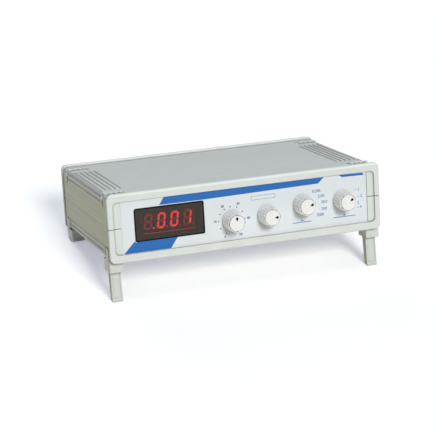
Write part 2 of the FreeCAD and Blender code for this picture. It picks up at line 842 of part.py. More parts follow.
def switch_body(name):
    x, z = KNOB_XZ[name]
    y = PLATE_Y[1]
    index = rod(x, z, y, y + 6, SWITCH_R)
    wafers = rod(x, z, y + 6, y + SWITCH_D, WAFER_R)
    tail = rod(x, z, y + SWITCH_D, y + SWITCH_D + SWITCH_TAIL, SWITCH_R * 0.7)
    return control_body(x, z, [index, wafers, tail], y + SWITCH_D - 3)


def switch_terminals():
    out = []
    y = PLATE_Y[1] + SWITCH_D
    for name in SWITCHES:
        x, z = KNOB_XZ[name]
        for i in range(TERMINALS):
            a = 2 * math.pi * (i + 0.5) / TERMINALS
            px = x + TERMINAL_R * math.cos(a)
            pz = z + TERMINAL_R * math.sin(a)
            out.append(box(px - 0.6, px + 0.6, y, y + TERMINAL_L, pz - 0.3, pz + 0.3))
    return group(out)


def control_washers():
    y = OVERLAY_Y
    return group([ring(x, z, y - WASHER_T, y, WASHER_R, HOLE_R, FEW) for x, z in KNOB_XZ.values()])


def control_nuts():
    y = OVERLAY_Y - WASHER_T
    return group([hexagon(x, z, y - NUT_T, y, NUT_AF, BUSH_R + RUN) for x, z in KNOB_XZ.values()])


def shaft(name):
    x, z = KNOB_XZ[name]
    inner = PLATE_Y[1] + (POT_D if name in POTS else SWITCH_D - 1) - 2.1
    stem = round_rod(x, z, KNOB_BORE_END, inner, SHAFT_R)
    flat = box(x - 5, x + 5, KNOB_BORE_END - 1, BUSH_NOSE - 1.2, z + SHAFT_R - 0.9, z + 5)
    return turned(stem.cut(flat), x, z, POINTER_DEG[name] - 90)


def grip_outline(x, z, r, y):
    """The knob's grip at depth y: broad lands with a narrow notch between each two."""
    points = []
    step = 2 * math.pi / FLUTES
    for i in range(FLUTES):
        for a, out in ((-LAND / 2, r), (LAND / 2, r), (0.5, r * (1 - FLUTE_SHARE))):
            t = (i + a) * step
            points.append(V(x + out * math.cos(t), y, z + out * math.sin(t)))
    return points


def knob(name):
    x, z = KNOB_XZ[name]
    base_y = KNOB_RIM - KNOB_BASE
    grip = tapered(grip_outline(x, z, KNOB_TOP_R, KNOB_FRONT), grip_outline(x, z, KNOB_R - 0.3, base_y))
    shape = grip.fuse(rod(x, z, base_y, KNOB_RIM, KNOB_R, MANY))
    cuts = [bore(x, z, KNOB_FRONT - 1, CAP_BACK, CAP_R + 0.03, MANY)]
    cuts.append(bore(x, z, BUSH_NOSE - 0.5, KNOB_RIM + 1, KNOB_R - 1.4, SOME))
    seat = bore(x, z, KNOB_BORE_END, BUSH_NOSE, SHAFT_R + 0.03)
    key = box(x - 5, x + 5, KNOB_BORE_END - 1, BUSH_NOSE - 1.2, z + SHAFT_R - 0.87, z + 5)
    cuts.append(seat.cut(key))
    return turned(shape.cut(cuts), x, z, POINTER_DEG[name] - 90)


def knob_cap(name):
    x, z = KNOB_XZ[name]
    disc = rod(x, z, CAP_FRONT + 0.5, CAP_BACK, CAP_R, MANY)
    edge = cone(x, z, CAP_FRONT, CAP_R - 0.5, CAP_FRONT + 0.5, CAP_R, MANY)
    dimple = rod(x, z + DOT_OUT, CAP_FRONT - 1, CAP_FRONT + 0.25, DOT_R, FEW)
    return turned(joined([disc, edge]).cut(dimple), x, z, POINTER_DEG[name] - 90)


# Inside the case


def on_board(dx, dy):
    x0, x1, y0, y1 = BOARD
    return (x0 + dx if dx > 0 else x1 + dx, y0 + dy if dy > 0 else y1 + dy)


def board_holes():
    m = BOARD_HOLE_IN
    return [on_board(dx, dy) for dx in (m, -m) for dy in (m, -m)]


def core_holes():
    x0, x1, y0, y1 = CORE
    reach = CORE_TAB - CORE_POST_R - 0.5
    return [(x0 - reach, (y0 + y1) / 2), (x1 + reach, (y0 + y1) / 2)]


def main_board():
    x0, x1, y0, y1 = BOARD
    board = box(x0, x1, y0, y1, BOARD_Z, BOARD_TOP)
    return board.cut([well(x, y, BOARD_Z - 1, BOARD_TOP + 1, SCREW_R + SCREW_FREE) for x, y in board_holes()])


def screw(x, y, z_head, length):
    head = post(x, y, z_head, z_head + SCREW_HEAD_H, SCREW_HEAD_R)
    return joined([head, post(x, y, z_head - length, z_head, SCREW_R)])


def panel_screw(x, z):
    y = DISPLAY_BOARD_Y + BOARD_T
    head = rod(x, z, y, y + SCREW_HEAD_H, SCREW_HEAD_R, FEW)
    return joined([head, rod(x, z, y - SCREW_L, y, SCREW_R, FEW)])


def internal_screws():
    out = [screw(x, y, BOARD_TOP, SCREW_L) for x, y in board_holes()]
    out += [screw(x, y, CORE_Z[0] + CORE_TAB_T, SCREW_L - 1.4) for x, y in core_holes()]
    out += [panel_screw(x, z) for x, z in standoff_places()]
    return group(out)


def board_chips():
    z0 = BOARD_TOP + CHIP_Z[0]
    z1 = BOARD_TOP + CHIP_Z[1]
    out = []
    for dx, dy, long, wide in CHIPS:
        x, y = on_board(dx, dy)
        parts = [box(x, x + long, y, y + wide, z0, z1)]
        for side in (y + 0.2, y + wide - 1.0):
            parts.append(box(x + 1, x + long - 1, side, side + TAG_T, BOARD_TOP, z0 + 0.4))
        out.append(joined(parts))
    return group(out)


def board_capacitors():
    out = []
    for dx, dy, r, h in CANS:
        x, y = on_board(dx, dy)
        out.append(post(x, y, BOARD_TOP, BOARD_TOP + h, r, SOME))
    return group(out)


def voltage_regulators():
    return group([regulator(*on_board(dx, dy)) for dx, dy in REGULATORS])


def regulator(x, y):
    """One regulator on its three legs, against its bent sheet heat sink."""
    z = BOARD_TOP
    half = REGULATOR_W / 2
    wing = SINK_W / 2
    back = y + REGULATOR_T
    low, high = REGULATOR_Z
    tab_low, tab_high, tab_t = REGULATOR_TAB
    parts = [box(x - half, x + half, y, back, z + low, z + high)]
    parts.append(box(x - half, x + half, back - tab_t, back, z + tab_low, z + tab_high))
    for i in (-1, 0, 1):
        a = x + i * 2.54 - REGULATOR_LEG / 2
        parts.append(box(a, a + REGULATOR_LEG, y + 1.8, y + 2.4, z, z + low + 0.5))
    parts.append(box(x - wing, x + wing, back, back + SINK_T, z, z + SINK_H))
    for a in (x - wing, x + wing - SINK_T):
        parts.append(box(a, a + SINK_T, back, back + SINK_FIN, z, z + SINK_H))
    return joined(parts)


def board_headers():
    z = BOARD_TOP
    y = DISPLAY_BOARD_Y + BOARD_T
    x0, x1 = CABLE_X
    cy = BOARD[2] + CABLE_Y
    out = [box(x0 - 1, x1 + 1, cy, cy + PLUG_D, z, z + HEADER_H)]
    out.append(box(x0 - 1, x1 + 1, y, y + PLUG_D + 1, BOARD_Z + PLUG_LIFT, BOARD_Z + PLUG_LIFT + PLUG_D))
    for dx, dy, long, wide in HEADERS:
        hx, hy = on_board(dx, dy)
        out.append(box(hx, hx + long, hy, hy + wide, z, z + HEADER_H))
    return group(out)


def ribbon_cable():
    x0, x1 = CABLE_X
    t = CABLE_T
    y0 = DISPLAY_BOARD_Y + BOARD_T + PLUG_D + 1
    bend = BOARD[2] - PLUG_D
    y1 = BOARD[2] + CABLE_Y + PLUG_D / 2
    z0 = BOARD_Z + PLUG_LIFT + PLUG_D / 2 - t / 2
    z1 = BOARD_TOP + HEADER_H
    flat = box(x0, x1, y0, bend, z0, z0 + t)
    rise = box(x0, x1, bend - t, bend, z0, z1 + 3 * t)
    over = box(x0, x1, bend - t, y1 + t / 2, z1 + 2 * t, z1 + 3 * t)
    drop = box(x0, x1, y1 - t / 2, y1 + t / 2, z1, z1 + 3 * t)
    return joined([flat, rise, over, drop])


def transformer_core():
    x0, x1, y0, y1 = CORE
    z0, z1 = CORE_Z
    limb = CORE_LIMB
    block = box(x0, x1, y0, y1, z0, z1)
    windows = [box(x, x + limb, y0 - 1, y1 + 1, z0 + limb, z1 - limb) for x in (x0 + limb, x1 - 2 * limb)]
    spans = ((x0 - CORE_TAB, x0 + 1), (x1 - 1, x1 + CORE_TAB))
    tabs = [box(a, b, y0 + 3, y1 - 3, z0, z0 + CORE_TAB_T) for a, b in spans]
    holes = [well(x, y, z0 - 1, z0 + 3, SCREW_R + SCREW_FREE) for x, y in core_holes()]
    return joined([block] + tabs).cut(windows + holes)


def transformer_coil():
    x0, x1, y0, y1 = CORE
    z0, z1 = CORE_Z
    a = CORE_LIMB + COIL_FIT
    coil = box(x0 + a, x1 - a, y0 - COIL_OUT, y1 + COIL_OUT, z0 + a, z1 - a)
    upright = [e for e in coil.Edges if e.BoundBox.XLength < 0.01 and e.BoundBox.YLength < 0.01]
    coil = coil.makeChamfer(3.0, upright)
    inner = 2 * CORE_LIMB - 0.1
    return coil.cut(box(x0 + inner, x1 - inner, y0 - 0.1, y1 + 0.1, z0, z1))


# Rear fittings


def inlet_block():
    x, z = INLET_XZ
    w = INLET_W / 2
    h = INLET_H / 2
    rim = INLET_FLANGE
    face = REAR_OUT + INLET_FLANGE_T
    flange = clipped(x - w - rim, x + w + rim, z - h - rim, z + h + rim, REAR_OUT, face, 1.5)
    body = box(x - w, x + w, REAR_OUT - INLET_D, REAR_OUT + 1, z - h, z + h)
    clips = [box(a, a + 1.3, REAR_IN - 6, REAR_IN - 0.2, z - 3, z + 3) for a in (x - w - 0.9, x + w - 0.4)]
    return joined([flange, body] + clips)


def mains_inlet():
    x, z = INLET_XZ
    w = CAVITY_W / 2
    h = CAVITY_H / 2
    c = CAVITY_CUT
    floor_y = REAR_OUT + INLET_FLANGE_T - CAVITY_D
    outline = [(-w, -h), (w, -h), (w, h - c), (w - c, h), (c - w, h), (-w, h - c)]
    cavity = plate([V(x + u, floor_y, z + s) for u, s in outline]).extrude(V(0, CAVITY_D + 1, 0))
    return inlet_block().cut([cavity] + pin_blades())


def pin_blades():
    x, z = INLET_XZ
    face = REAR_OUT + INLET_FLANGE_T
    floor_y = face - CAVITY_D
    root = REAR_OUT - INLET_D
    half = PIN_H / 2
    tag_h = half + 0.4
    out = []
    for i, rise, tip in ((-1, -PIN_RISE, PIN_TIP), (0, PIN_RISE, EARTH_TIP), (1, -PIN_RISE, PIN_TIP)):
        px = x + i * PIN_PITCH
        pz = z + rise
        blade = box(px - PIN_W / 2, px + PIN_W / 2, floor_y - 1.5, face - tip, pz - half, pz + half)
        tag = box(px - TAG_T / 2, px + TAG_T / 2, root - TAG_L, floor_y - 1, pz - tag_h, pz + tag_h)
        out.append(joined([blade, tag]))
    return out


def inlet_pins():
    return group(pin_blades())


def switch_housing():
    x, z = SWITCH_XZ
    w = SWITCH_W / 2
    h = SWITCH_H / 2
    t = TAG_T / 2
    back = REAR_OUT - SWITCH_BODY_D
    room = ROCKER_W / 2 + 0.3
    flange = clipped(x - w - 1.1, x + w + 1.1, z - h - 1, z + h + 1, REAR_OUT, REAR_OUT + 1.5, 1.0)
    body = box(x - w, x + w, back, REAR_OUT + 0.5, z - h, z + h)
    rows = (z - SWITCH_TAG_Z, z + SWITCH_TAG_Z)
    tags = [box(x - t, x + t, back - TAG_L + 1, back + 0.5, row - 2.4, row + 2.4) for row in rows]
    opening = box(x - room, x + room, REAR_OUT - WELL_D, REAR_OUT + 5, z - h + 1, z + h - 1)
    pivot = ROCKER_W / 2 + 1.1 + RUN
    holes = [opening, axle(x - pivot, x + pivot, ROCKER_Y, z, flats(ROCKER_AXLE_R + RUN, FEW))]
    return joined([flange, body] + tags).cut(holes)


def power_rocker():
    x, z = SWITCH_XZ
    p = ROCKER_Y
    w = ROCKER_W / 2
    upper = [(p + y, z + s) for y, s in ROCKER_HALF]
    lower = [(p + y, z - s) for y, s in reversed(ROCKER_HALF)]
    body = side_profile(upper + [(p + ROCKER_CROWN, z)] + lower, x - w, x + w)
    shape = joined([body, round_axle(x - w - 1.1, x + w + 1.1, p, z, ROCKER_AXLE_R)])
    shape.rotate(V(x, p, z), V(1, 0, 0), ROCKER_SET)
    return shape


def fuse_holder():
    x, z = FUSE_XZ
    out = REAR_OUT
    barrel = rod(x, z, out - HOLDER_D, out + 1, HOLDER_R)
    rim = rod(x, z, out, out + 2.0, HOLDER_R + 2.2, MANY)
    inner = out - HOLDER_D
    mouth = bore(x, z, inner + 5, out + 3, HOLDER_BORE_R)
    seat = bore(x, z, inner + 2.9, inner + 6, FUSE_R + RUN)
    return joined([barrel, rim]).cut([mouth, seat])


def fuse_cap():
    x, z = FUSE_XZ
    lip = REAR_OUT + 2.3
    end = lip + FUSE_CAP_L
    stem = round_rod(x, z, REAR_OUT - 6, lip, HOLDER_BORE_R - 0.1)
    head = rod(x, z, lip, end - 0.8, FUSE_CAP_R, MANY)
    edge = cone(x, z, end - 0.8, FUSE_CAP_R, end, FUSE_CAP_R - 0.8, MANY)
    slot = box(x - 5.0, x + 5.0, end - 1.4, end + 1, z - 0.7, z + 0.7)
    return joined([stem, head, edge]).cut([slot, bore(x, z, REAR_OUT - 7, fuse_end() + 0.1, FUSE_R + 0.1)])


def fuse_end():
    return REAR_OUT - HOLDER_D + 3.0 + FUSE_L


def glass_fuse():
    x, z = FUSE_XZ
    y1 = fuse_end()
    y0 = y1 - FUSE_L
    ends = [rod(x, z, y, y + 5, FUSE_R) for y in (y0, y1 - 5)]
    return joined(ends + [rod(x, z, y0 + 4.5, y1 - 4.5, FUSE_R - 0.2)])


def cell_socket():
    x, z = SOCKET_XZ
    out = REAR_OUT
    barrel = rod(x, z, out - SOCKET_D, out + SOCKET_L, SOCKET_R - RUN, MANY)
    collar = rod(x, z, out, out + 2.0, SOCKET_R + 2.6, MANY)
    studs = axle(x - SOCKET_R - 0.9, x + SOCKET_R + 0.9, out + STUD_OUT, z, STUD_R)
    mouth = bore(x, z, out + 2.2, out + SOCKET_L + 1, SOCKET_BORE_R, MANY)
    through = bore(x, z, out - SOCKET_D - 1, out + 3, SOCKET_BORE_R - 0.8)
    return joined([barrel, collar, studs]).cut([mouth, through])


def socket_insulator():
    x, z = SOCKET_XZ
    out = REAR_OUT
    thick = rod(x, z, out - SOCKET_D, out + 2.2, SOCKET_BORE_R - 0.85)
    thin = rod(x, z, out + 2.2, out + SOCKET_L - 1.6, 2.4)
    return joined([thick, thin]).cut(bore(x, z, out - SOCKET_D - 1, out + SOCKET_L, CORE_PIN_R + RUN, FEW))


def socket_contact():
    x, z = SOCKET_XZ
    out = REAR_OUT
    pin = rod(x, z, out - SOCKET_D - 5, out + SOCKET_L - 2.2, CORE_PIN_R, FEW)
    return pin.cut(bore(x, z, out + 5.0, out + SOCKET_L, CORE_PIN_R - 0.35, FEW))


def rear_nuts():
    fuse = hexagon(FUSE_XZ[0], FUSE_XZ[1], REAR_IN - 3, REAR_IN, 15.0, HOLDER_R + RUN)
    cell = hexagon(SOCKET_XZ[0], SOCKET_XZ[1], REAR_IN - 2.6, REAR_IN, 13.0, SOCKET_R + RUN)
    return group([fuse, cell])


# Feet and tilt legs


def table_z(y):
    """Height of the table under the tipped case, in body coordinates."""
    return -FOOT_H - (HEEL_Y - y) * math.tan(math.radians(STANCE))


def foot_peg(x, y):
    return post(x, y, BODY_LOW - 1, FLOOR + 0.8, PEG_R)


def cheek(span):
    return box(HALF_W - CHEEK_T, HALF_W, span[0], span[1], 0, CHEEK_TOP)


def front_foot():
    x0 = HALF_W - FOOT_W
    y0, y1 = FOOT_Y
    block = box(x0, HALF_W, y0, y1, -FOOT_H, BODY_LOW)
    upright = [e for e in block.Edges if e.BoundBox.YMax < y0 + 0.01 and e.BoundBox.XLength < 0.01]
    block = block.makeChamfer(0.6, upright)
    px, py = peg_places()[0]
    shape = joined([block, cheek(CHEEK_Y), foot_peg(px, py)])
    half = LEG_T / 2
    slot = box(x0 + EAR, HALF_W - EAR, HINGE_Y - half - 0.6, y1 + 1, -FOOT_H - 1, HINGE_Z + half + 0.4)
    hole = axle(x0 - 1, HALF_W - EAR + 0.8, HINGE_Y, HINGE_Z, flats(PIN_R + 0.03, SOME), SOME)
    return shape.cut([slot, hole])


def tilt_leg():
    x0 = HALF_W - FOOT_W + EAR + LEG_FIT
    x1 = HALF_W - EAR - LEG_FIT
    y0 = HINGE_Y - LEG_T / 2
    y1 = HINGE_Y + LEG_T / 2
    sole = table_z(HINGE_Y)
    low = sole - 5
    bar = side_profile([(y0, HINGE_Z), (y1, HINGE_Z), (y0 + LEG_TIP_T, low), (y0, low)], x0, x1)
    shape = joined([bar, round_axle(x0, x1, HINGE_Y, HINGE_Z, LEG_T / 2)])
    end = sole + 2.0
    face = box(x0 + LEG_RIM, x1 - LEG_RIM, y0 - 1, y0 + 0.5, end, HINGE_Z - 6.4)
    hollow = box(x0 + LEG_RIM, x1 - LEG_RIM, y0 + 2.2, y1 + 1, end, HINGE_Z - 5.0)
    hole = round_axle(x0 - 1, x1 + 1, HINGE_Y, HINGE_Z, PIN_R + RUN)
    shape = shape.cut([face, hollow, hole])
    shape.rotate(V(0, HINGE_Y, HINGE_Z), V(1, 0, 0), -LEG_LEAN)
    ends = (-CASE_D, CASE_D)
    below = table_z(-CASE_D) - FOOT_H
    ground = [(y, table_z(y)) for y in ends] + [(y, below) for y in reversed(ends)]
    return shape.cut(side_profile(ground, x0 - 1, x1 + 1))


def rear_foot():
    x0 = HALF_W - FOOT_W
    slope = math.tan(math.radians(STANCE))
    y0, y1 = REAR_FOOT
    heel = HEEL_Y + HEEL_LEN
    sole = [(HEEL_Y, -FOOT_H), (heel, -FOOT_H + HEEL_LEN * slope)]
    points = [(y0, BODY_LOW), (y0, -FOOT_H)] + sole + [(y1, BODY_LOW)]
    px, py = peg_places()[1]
    shape = joined([side_profile(points, x0, HALF_W), cheek(REAR_CHEEK), foot_peg(px, py)])
    return shape.cut(box(x0 + 2, HALF_W - 2, y0 - 1, HEEL_Y - 3, -FOOT_H + 2, -0.5))


def hinge_pins():
    x0 = HALF_W - FOOT_W
    return group(both_sides(axle(x0 + 0.2, HALF_W - EAR + 0.7, HINGE_Y, HINGE_Z, PIN_R, MANY)))


def case_screws():
    out = []
    z0, z1 = CASE_HEAD_Z
    for x, y in case_screw_places():
        head = post(x, y, z0, z1, CASE_HEAD_R)
        head = head.cut(post(x, y, z0 - 1, z0 + 1.2, 1.2, 6))
        out.append(joined([head, post(x, y, z1 - 0.1, SPLIT_Z + CASE_SCREW_UP, CASE_SCREW_R)]))
    return group(out)


def all_pieces():
    pieces = {
        "top_cover": top_cover(),
        "base_shell": base_shell(),
        "front_panel": front_panel(),
        "front_overlay": front_overlay(),
        "rear_panel": rear_panel(),
        "display_filter": display_filter(),
        "display_shroud": display_shroud(),
        "digit_modules": digit_modules(),
        "lit_segments": lit_segments(),
        "dark_segments": dark_segments(),
        "display_board": display_board(),
        "display_standoffs": display_standoffs(),
        "control_nuts": control_nuts(),
        "control_washers": control_washers(),
        "pot_terminals": pot_terminals(),
        "switch_terminals": switch_terminals(),
        "main_board": main_board(),
        "board_chips": board_chips(),
        "board_capacitors": board_capacitors(),
        "voltage_regulators": voltage_regulators(),
        "board_headers": board_headers(),
        "ribbon_cable": ribbon_cable(),
        "internal_screws": internal_screws(),
        "transformer_core": transformer_core(),
        "transformer_coil": transformer_coil(),
        "mains_inlet": mains_inlet(),
        "inlet_pins": inlet_pins(),
        "switch_housing": switch_housing(),
        "power_rocker": power_rocker(),
        "fuse_holder": fuse_holder(),
        "fuse_cap": fuse_cap(),
        "glass_fuse": glass_fuse(),
        "cell_socket": cell_socket(),
        "socket_insulator": socket_insulator(),
        "socket_contact": socket_contact(),
        "rear_nuts": rear_nuts(),
        "front_foot_right": front_foot(),
        "tilt_leg_right": tilt_leg(),
        "rear_foot_right": rear_foot(),
        "hinge_pins": hinge_pins(),
        "case_screws": case_screws(),
    }
    for name in POTS:
        pieces[name + "_pot"] = pot_body(name)
    for name in SWITCHES:
        pieces[name + "_switch"] = switch_body(name)
    for name in KNOB_XZ:
        pieces[name + "_shaft"] = shaft(name)
        pieces[name + "_knob"] = knob(name)
        pieces[name + "_knob_cap"] = knob_cap(name)
    for name in ("front_foot", "tilt_leg", "rear_foot"):
        pieces[name + "_left"] = flip_x(pieces[name + "_right"])
    return pieces


def stand(pieces):
    """Tip the case back onto its legs and put the middle of its footprint at the origin."""
    for shape in pieces.values():
        shape.rotate(V(0, 0, 0), V(1, 0, 0), -STANCE)
    span = group(list(pieces.values())).optimalBoundingBox(True, False)
    shift = V(0, -(span.YMin + span.YMax) / 2, -span.ZMin)
    for shape in pieces.values():
        shape.translate(shift)
    return shift


def main():
    os.makedirs("parts", exist_ok=True)
    pieces = all_pieces()
    shift = stand(pieces)
    for name, shape in pieces.items():
        shape.exportStep("parts/" + name + ".step")
    print("pieces", len(pieces), "stance", STANCE, "shift", shift.y, shift.z)


if __name__ == "__main__":
    main()
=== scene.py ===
import json
import math
import bmesh
import bpy
from mathutils import Matrix, Vector


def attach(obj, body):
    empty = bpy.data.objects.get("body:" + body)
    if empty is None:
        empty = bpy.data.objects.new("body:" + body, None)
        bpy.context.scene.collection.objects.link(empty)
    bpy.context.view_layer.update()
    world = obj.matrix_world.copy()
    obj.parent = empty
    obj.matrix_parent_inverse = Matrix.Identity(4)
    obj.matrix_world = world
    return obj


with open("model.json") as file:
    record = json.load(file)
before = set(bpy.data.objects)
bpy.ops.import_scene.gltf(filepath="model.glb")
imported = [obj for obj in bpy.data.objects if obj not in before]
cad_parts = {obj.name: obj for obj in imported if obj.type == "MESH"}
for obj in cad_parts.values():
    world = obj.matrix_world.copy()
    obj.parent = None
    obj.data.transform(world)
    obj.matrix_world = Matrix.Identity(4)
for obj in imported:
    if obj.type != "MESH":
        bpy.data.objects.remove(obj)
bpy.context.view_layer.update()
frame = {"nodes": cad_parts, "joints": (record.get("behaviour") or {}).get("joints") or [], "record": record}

# The case stands tipped back on its legs. Places on it are given in body coordinates in mm:
# x to the right, y to the rear from the bezel's face, z up from the bezel's lowest edge.

MM = 0.001
STANCE = 11.0
TILT = Matrix.Rotation(math.radians(-STANCE), 3, "X")
RIGHT = Vector((1, 0, 0))
UP = TILT @ Vector((0, 0, 1))
FORTH = TILT @ Vector((0, -1, 0))
LEG_PIVOT = (122.6, 14.8, -4.8)

# The camera, for a square picture of 440 pixels. Its target and distance are in mm.

CAMERA_TARGET = (4.97, 9.23, 24.17)
CAMERA_DISTANCE = 1604.6
CAMERA_AZIMUTH = 19.397
CAMERA_ELEVATION = 23.188
CAMERA_ROLL = 0.389
CAMERA_LENS = 138.17
SENSOR = 36.0
VIEW_END = 20.0

# The outside of the case: its walls, how far the crests of its ribs stand proud of them, and the places of
# the trim that is added in the side grooves and in the rear feet.

TOP_Z = 59.5
SIDE_X = 128.0
CASE_D = 166.0
TOP_CREST = (0.4, 0.8)
SIDE_CREST = (0.3, 0.5)
RIM_Y = 8.0
RIM_FADE = 2.0
SEAM_IN = (0.08, 0.52)
SEAM_Y = (4.5, 161.5)
SEAM_Z = (30.77, 31.23)
WEB_X = (118.3, 126.9)
WEB_Y = (143.3, 144.3)
WEB_Z = (-6.9, -0.6)
WEB_R = 0.4

# The front film, the window in it and the digit modules behind. A box is x0, x1, z0, z1.

FILM_Y = 1.80
LENS_Y = 1.70
INK_T = 0.02
WINDOW = (-104.8, -40.0, 16.8, 47.0)
WINDOW_R = 1.8
WINDOW_STEPS = 6
RIM_OUT = 0.1
RIM_IN = 1.3
RIM_INNER_R = 1.08
MODULES = (-96.8, -48.5, 22.1, 41.1)
GLOW_Y = (6.0, 6.05)
END_GLOW_W = 0.25
BOTTOM_GLOW_IN = 1.0
BOTTOM_GLOW_H = 0.5

# What is printed on the film. A mark is its number, x and z, and a rule is x, z and half its length.

UPPER_BAND = ((-76.4, 54.7), (-81.1, 47.7), (-39.9, 47.6), (69.5, 48.9), (75.3, 54.1))
SMALL_BAND = ((89.5, 54.3), (113.8, 53.7), (114.3, 51.6), (93.3, 52.0))
LOWER_BAND = ((-115.8, 7.6), (-72.6, 7.6), (-67.3, 15.0), (-65.2, 17.2), (-104.6, 17.6), (-105.2, 18.3))
TYPE_SIZE = 1.5
INK_SPREAD = 0.10
DIAL_PLACE = (-14.7, 25.4)
DIAL_R = 12.6
DIAL_DOT_R = 0.62
DIAL_DEG = (-116, -150, 178, 148, 121, 94, 65, 34, 1, -31, -60)
DIAL_STEP = 5
DIAL_NUMBER_OUT = 3.3
DIAL_NUMBER_H = 2.0
MARK_H = 2.4
RANGE_MARKS = (("0.200", 67.4, 42.1), ("2.00", 71.9, 37.0), ("20.0", 74.7, 31.4), ("200", 74.6, 25.0),
               ("2000", 70.6, 19.9))
FUNCTION_MARKS = (("1", 108.8, 38.6), ("2", 111.4, 32.5), ("3", 108.2, 26.2), ("4", 110.5, 22.3))
LEADER_OUT = (4.2, 1.8)
LEADER_HALF = 0.2
RULES = ((52.5, 15.1, 9.0), (94.0, 15.2, 11.0))
RULE_HALF = 0.4
TRIANGLE_HALF = 1.5
TRIANGLE_RISE = (1.0, 2.8)
BOX = (4.5, 27.7, 41.2, 45.0)
BOX_R = 1.0
BOX_LINE = 0.35

# The knobs' pointers: a round dot DOT_OUT from the knob's middle, with a tail towards it. The arc is a
# start and a sweep in degrees.

CAP_PROUD = 1.0
DOT_OUT = 4.4
DOT_R = 1.2
DOT_ARC = (-55, 290)
DOT_STEPS = 12
TAIL_LENGTH = 1.2
TAIL_HALF = 0.12
DROP_PROUD = 0.03
PLUG_PROUD = 0.02
PLUG_DEEP = 0.25
POINTER_DEG = {"temperature": 90.0, "cell": 0.0, "range": 22.0, "function": 37.0}

# Colours and depths that several materials or a tint share.

WHITE = (1.0, 1.0, 1.0, 1.0)
BLACK = (0.0, 0.0, 0.0, 1.0)
CASE_GREY = (0.925, 0.968, 0.925, 1.0)
FILM_WHITE = (0.725, 0.765, 0.780, 1.0)
# Painted shade in corners and grooves.
CORNER_SHADE = (0.30, 0.30, 0.28, 1.0)
# How deep the painted shade on the rib flanks is.
FLANK_SHADE = 0.34
# The darker, warmer painted shade of the side walls.
SIDE_WALL_SHADE = (0.885, 0.86, 0.71, 1.0)
# How much darker than the crests the rest of the case is, for a painted highlight on the crests.
CREST_GAIN = 0.16
# The reach of the rubbed pale wear and the painted highlight along outer edges.
WEAR_AND_HIGHLIGHT_REACH = 0.0009
GRAIN_DEPTH = 0.0001

# Bevels in metres, and the least angle in degrees between two faces that get one.

BEVEL = {"case_plastic": 0.00022, "foot_plastic": 0.00030, "knob_plastic": 0.00016, "cap_plastic": 0.00012,
         "black_plastic": 0.00018, "plated_steel": 0.00012, "nickel": 0.00012}
PLAIN_BEVEL = 0.00008
CASE_CORNER = 28
ROUND_CORNER = 38

# The stage.

FLOOR_HALF = 4.0
FLOOR_GLOW = (0.335, 0.355, 0.43, 1.0)
ROOM = (0.156, 0.165, 0.180, 1.0)


def joint_place(name):
    """A joint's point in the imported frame, in metres."""
    return Vector(next(j["pos_m"] for j in frame["joints"] if j["name"] == name))


SHIFT = joint_place("right_leg_fold") - TILT @ (Vector(LEG_PIVOT) * MM)


def at(x, y, z):
    """A point of the tipped case, in metres, from its body coordinates in mm."""
    return TILT @ (Vector((x, y, z)) * MM) + SHIFT


# Tints


def scaled(colour, k):
    return (*[min(1.0, c * k) for c in colour[:3]], 1.0)


def grey(value):
    return (value, value, value, 1.0)


def new_material(name):
    m = bpy.data.materials.new(name)
    m.use_nodes = True
    return m, m.node_tree.nodes, m.node_tree.links


def noise(nodes, links, scale, detail=3.0, length=(1, 1, 1)):
    """Noise along the tipped case's own axes, in features of about length / scale metres."""
    where = nodes.new("ShaderNodeTexCoord")
    mapping = nodes.new("ShaderNodeMapping")
    mapping.vector_type = "TEXTURE"
    mapping.inputs["Rotation"].default_value = (math.radians(-STANCE), 0, 0)
    mapping.inputs["Scale"].default_value = length
    tex = nodes.new("ShaderNodeTexNoise")
    tex.inputs["Scale"].default_value = scale
    tex.inputs["Detail"].default_value = detail
    links.new(where.outputs["Object"], mapping.inputs["Vector"])
    links.new(mapping.outputs["Vector"], tex.inputs["Vector"])
    return tex.outputs["Fac"]


def ramp(nodes, links, fac, *stops):
    """Colours along a value, each stop a place and a colour."""
    node = nodes.new("ShaderNodeValToRGB")
    band = node.color_ramp.elements
    while len(band) < len(stops):
        band.new(0.5)
    for element, (place, colour) in zip(band, stops):
        element.position = place
        element.color = colour
    links.new(fac, node.inputs["Fac"])
    return node.outputs["Color"]


def blended(nodes, links, mode, a, b, mask=None):
    """Colour b laid over colour a, and only where the mask is white if there is one."""
    node = nodes.new("ShaderNodeMix")
    node.data_type = "RGBA"
    node.blend_type = mode
    node.inputs["Factor"].default_value = 1.0
    if mask is not None:
        links.new(mask, node.inputs["Factor"])
    links.new(a, node.inputs["A"])
    links.new(b, node.inputs["B"])
    return node.outputs["Result"]


def math_node(nodes, links, operation, *values):
    node = nodes.new("ShaderNodeMath")
    node.operation = operation
    for socket, value in zip(node.inputs, values):
        links.new(value, socket)
    return node.outputs["Value"]


def edge_light(nodes, links, reach, strength):
    """A tint that is whitest along outer edges: edges that hands and shelves have rubbed pale, and a painted
    highlight along them.
    """
    node = nodes.new("ShaderNodeAmbientOcclusion")
    node.inside = True
    node.only_local = True
    node.samples = 4
    node.inputs["Distance"].default_value = reach
    return ramp(nodes, links, node.outputs["AO"], (0.35, WHITE), (0.75, grey(1 - strength)))


def crevice(nodes, links, reach, shade):
    """Painted shade: a darker tint in corners and grooves, by how closely they are hemmed in."""
    node = nodes.new("ShaderNodeAmbientOcclusion")
    node.samples = 6
    node.inputs["Distance"].default_value = reach
    return ramp(nodes, links, node.outputs["AO"], (0.50, shade), (0.97, WHITE))


def facing(nodes, links, axis):
    """How far a surface faces along an axis, either way, from 0 to 1."""
    where = nodes.new("ShaderNodeTexCoord")
    axes = nodes.new("ShaderNodeSeparateXYZ")
    links.new(where.outputs["Normal"], axes.inputs["Vector"])
    return math_node(nodes, links, "ABSOLUTE", axes.outputs[axis])


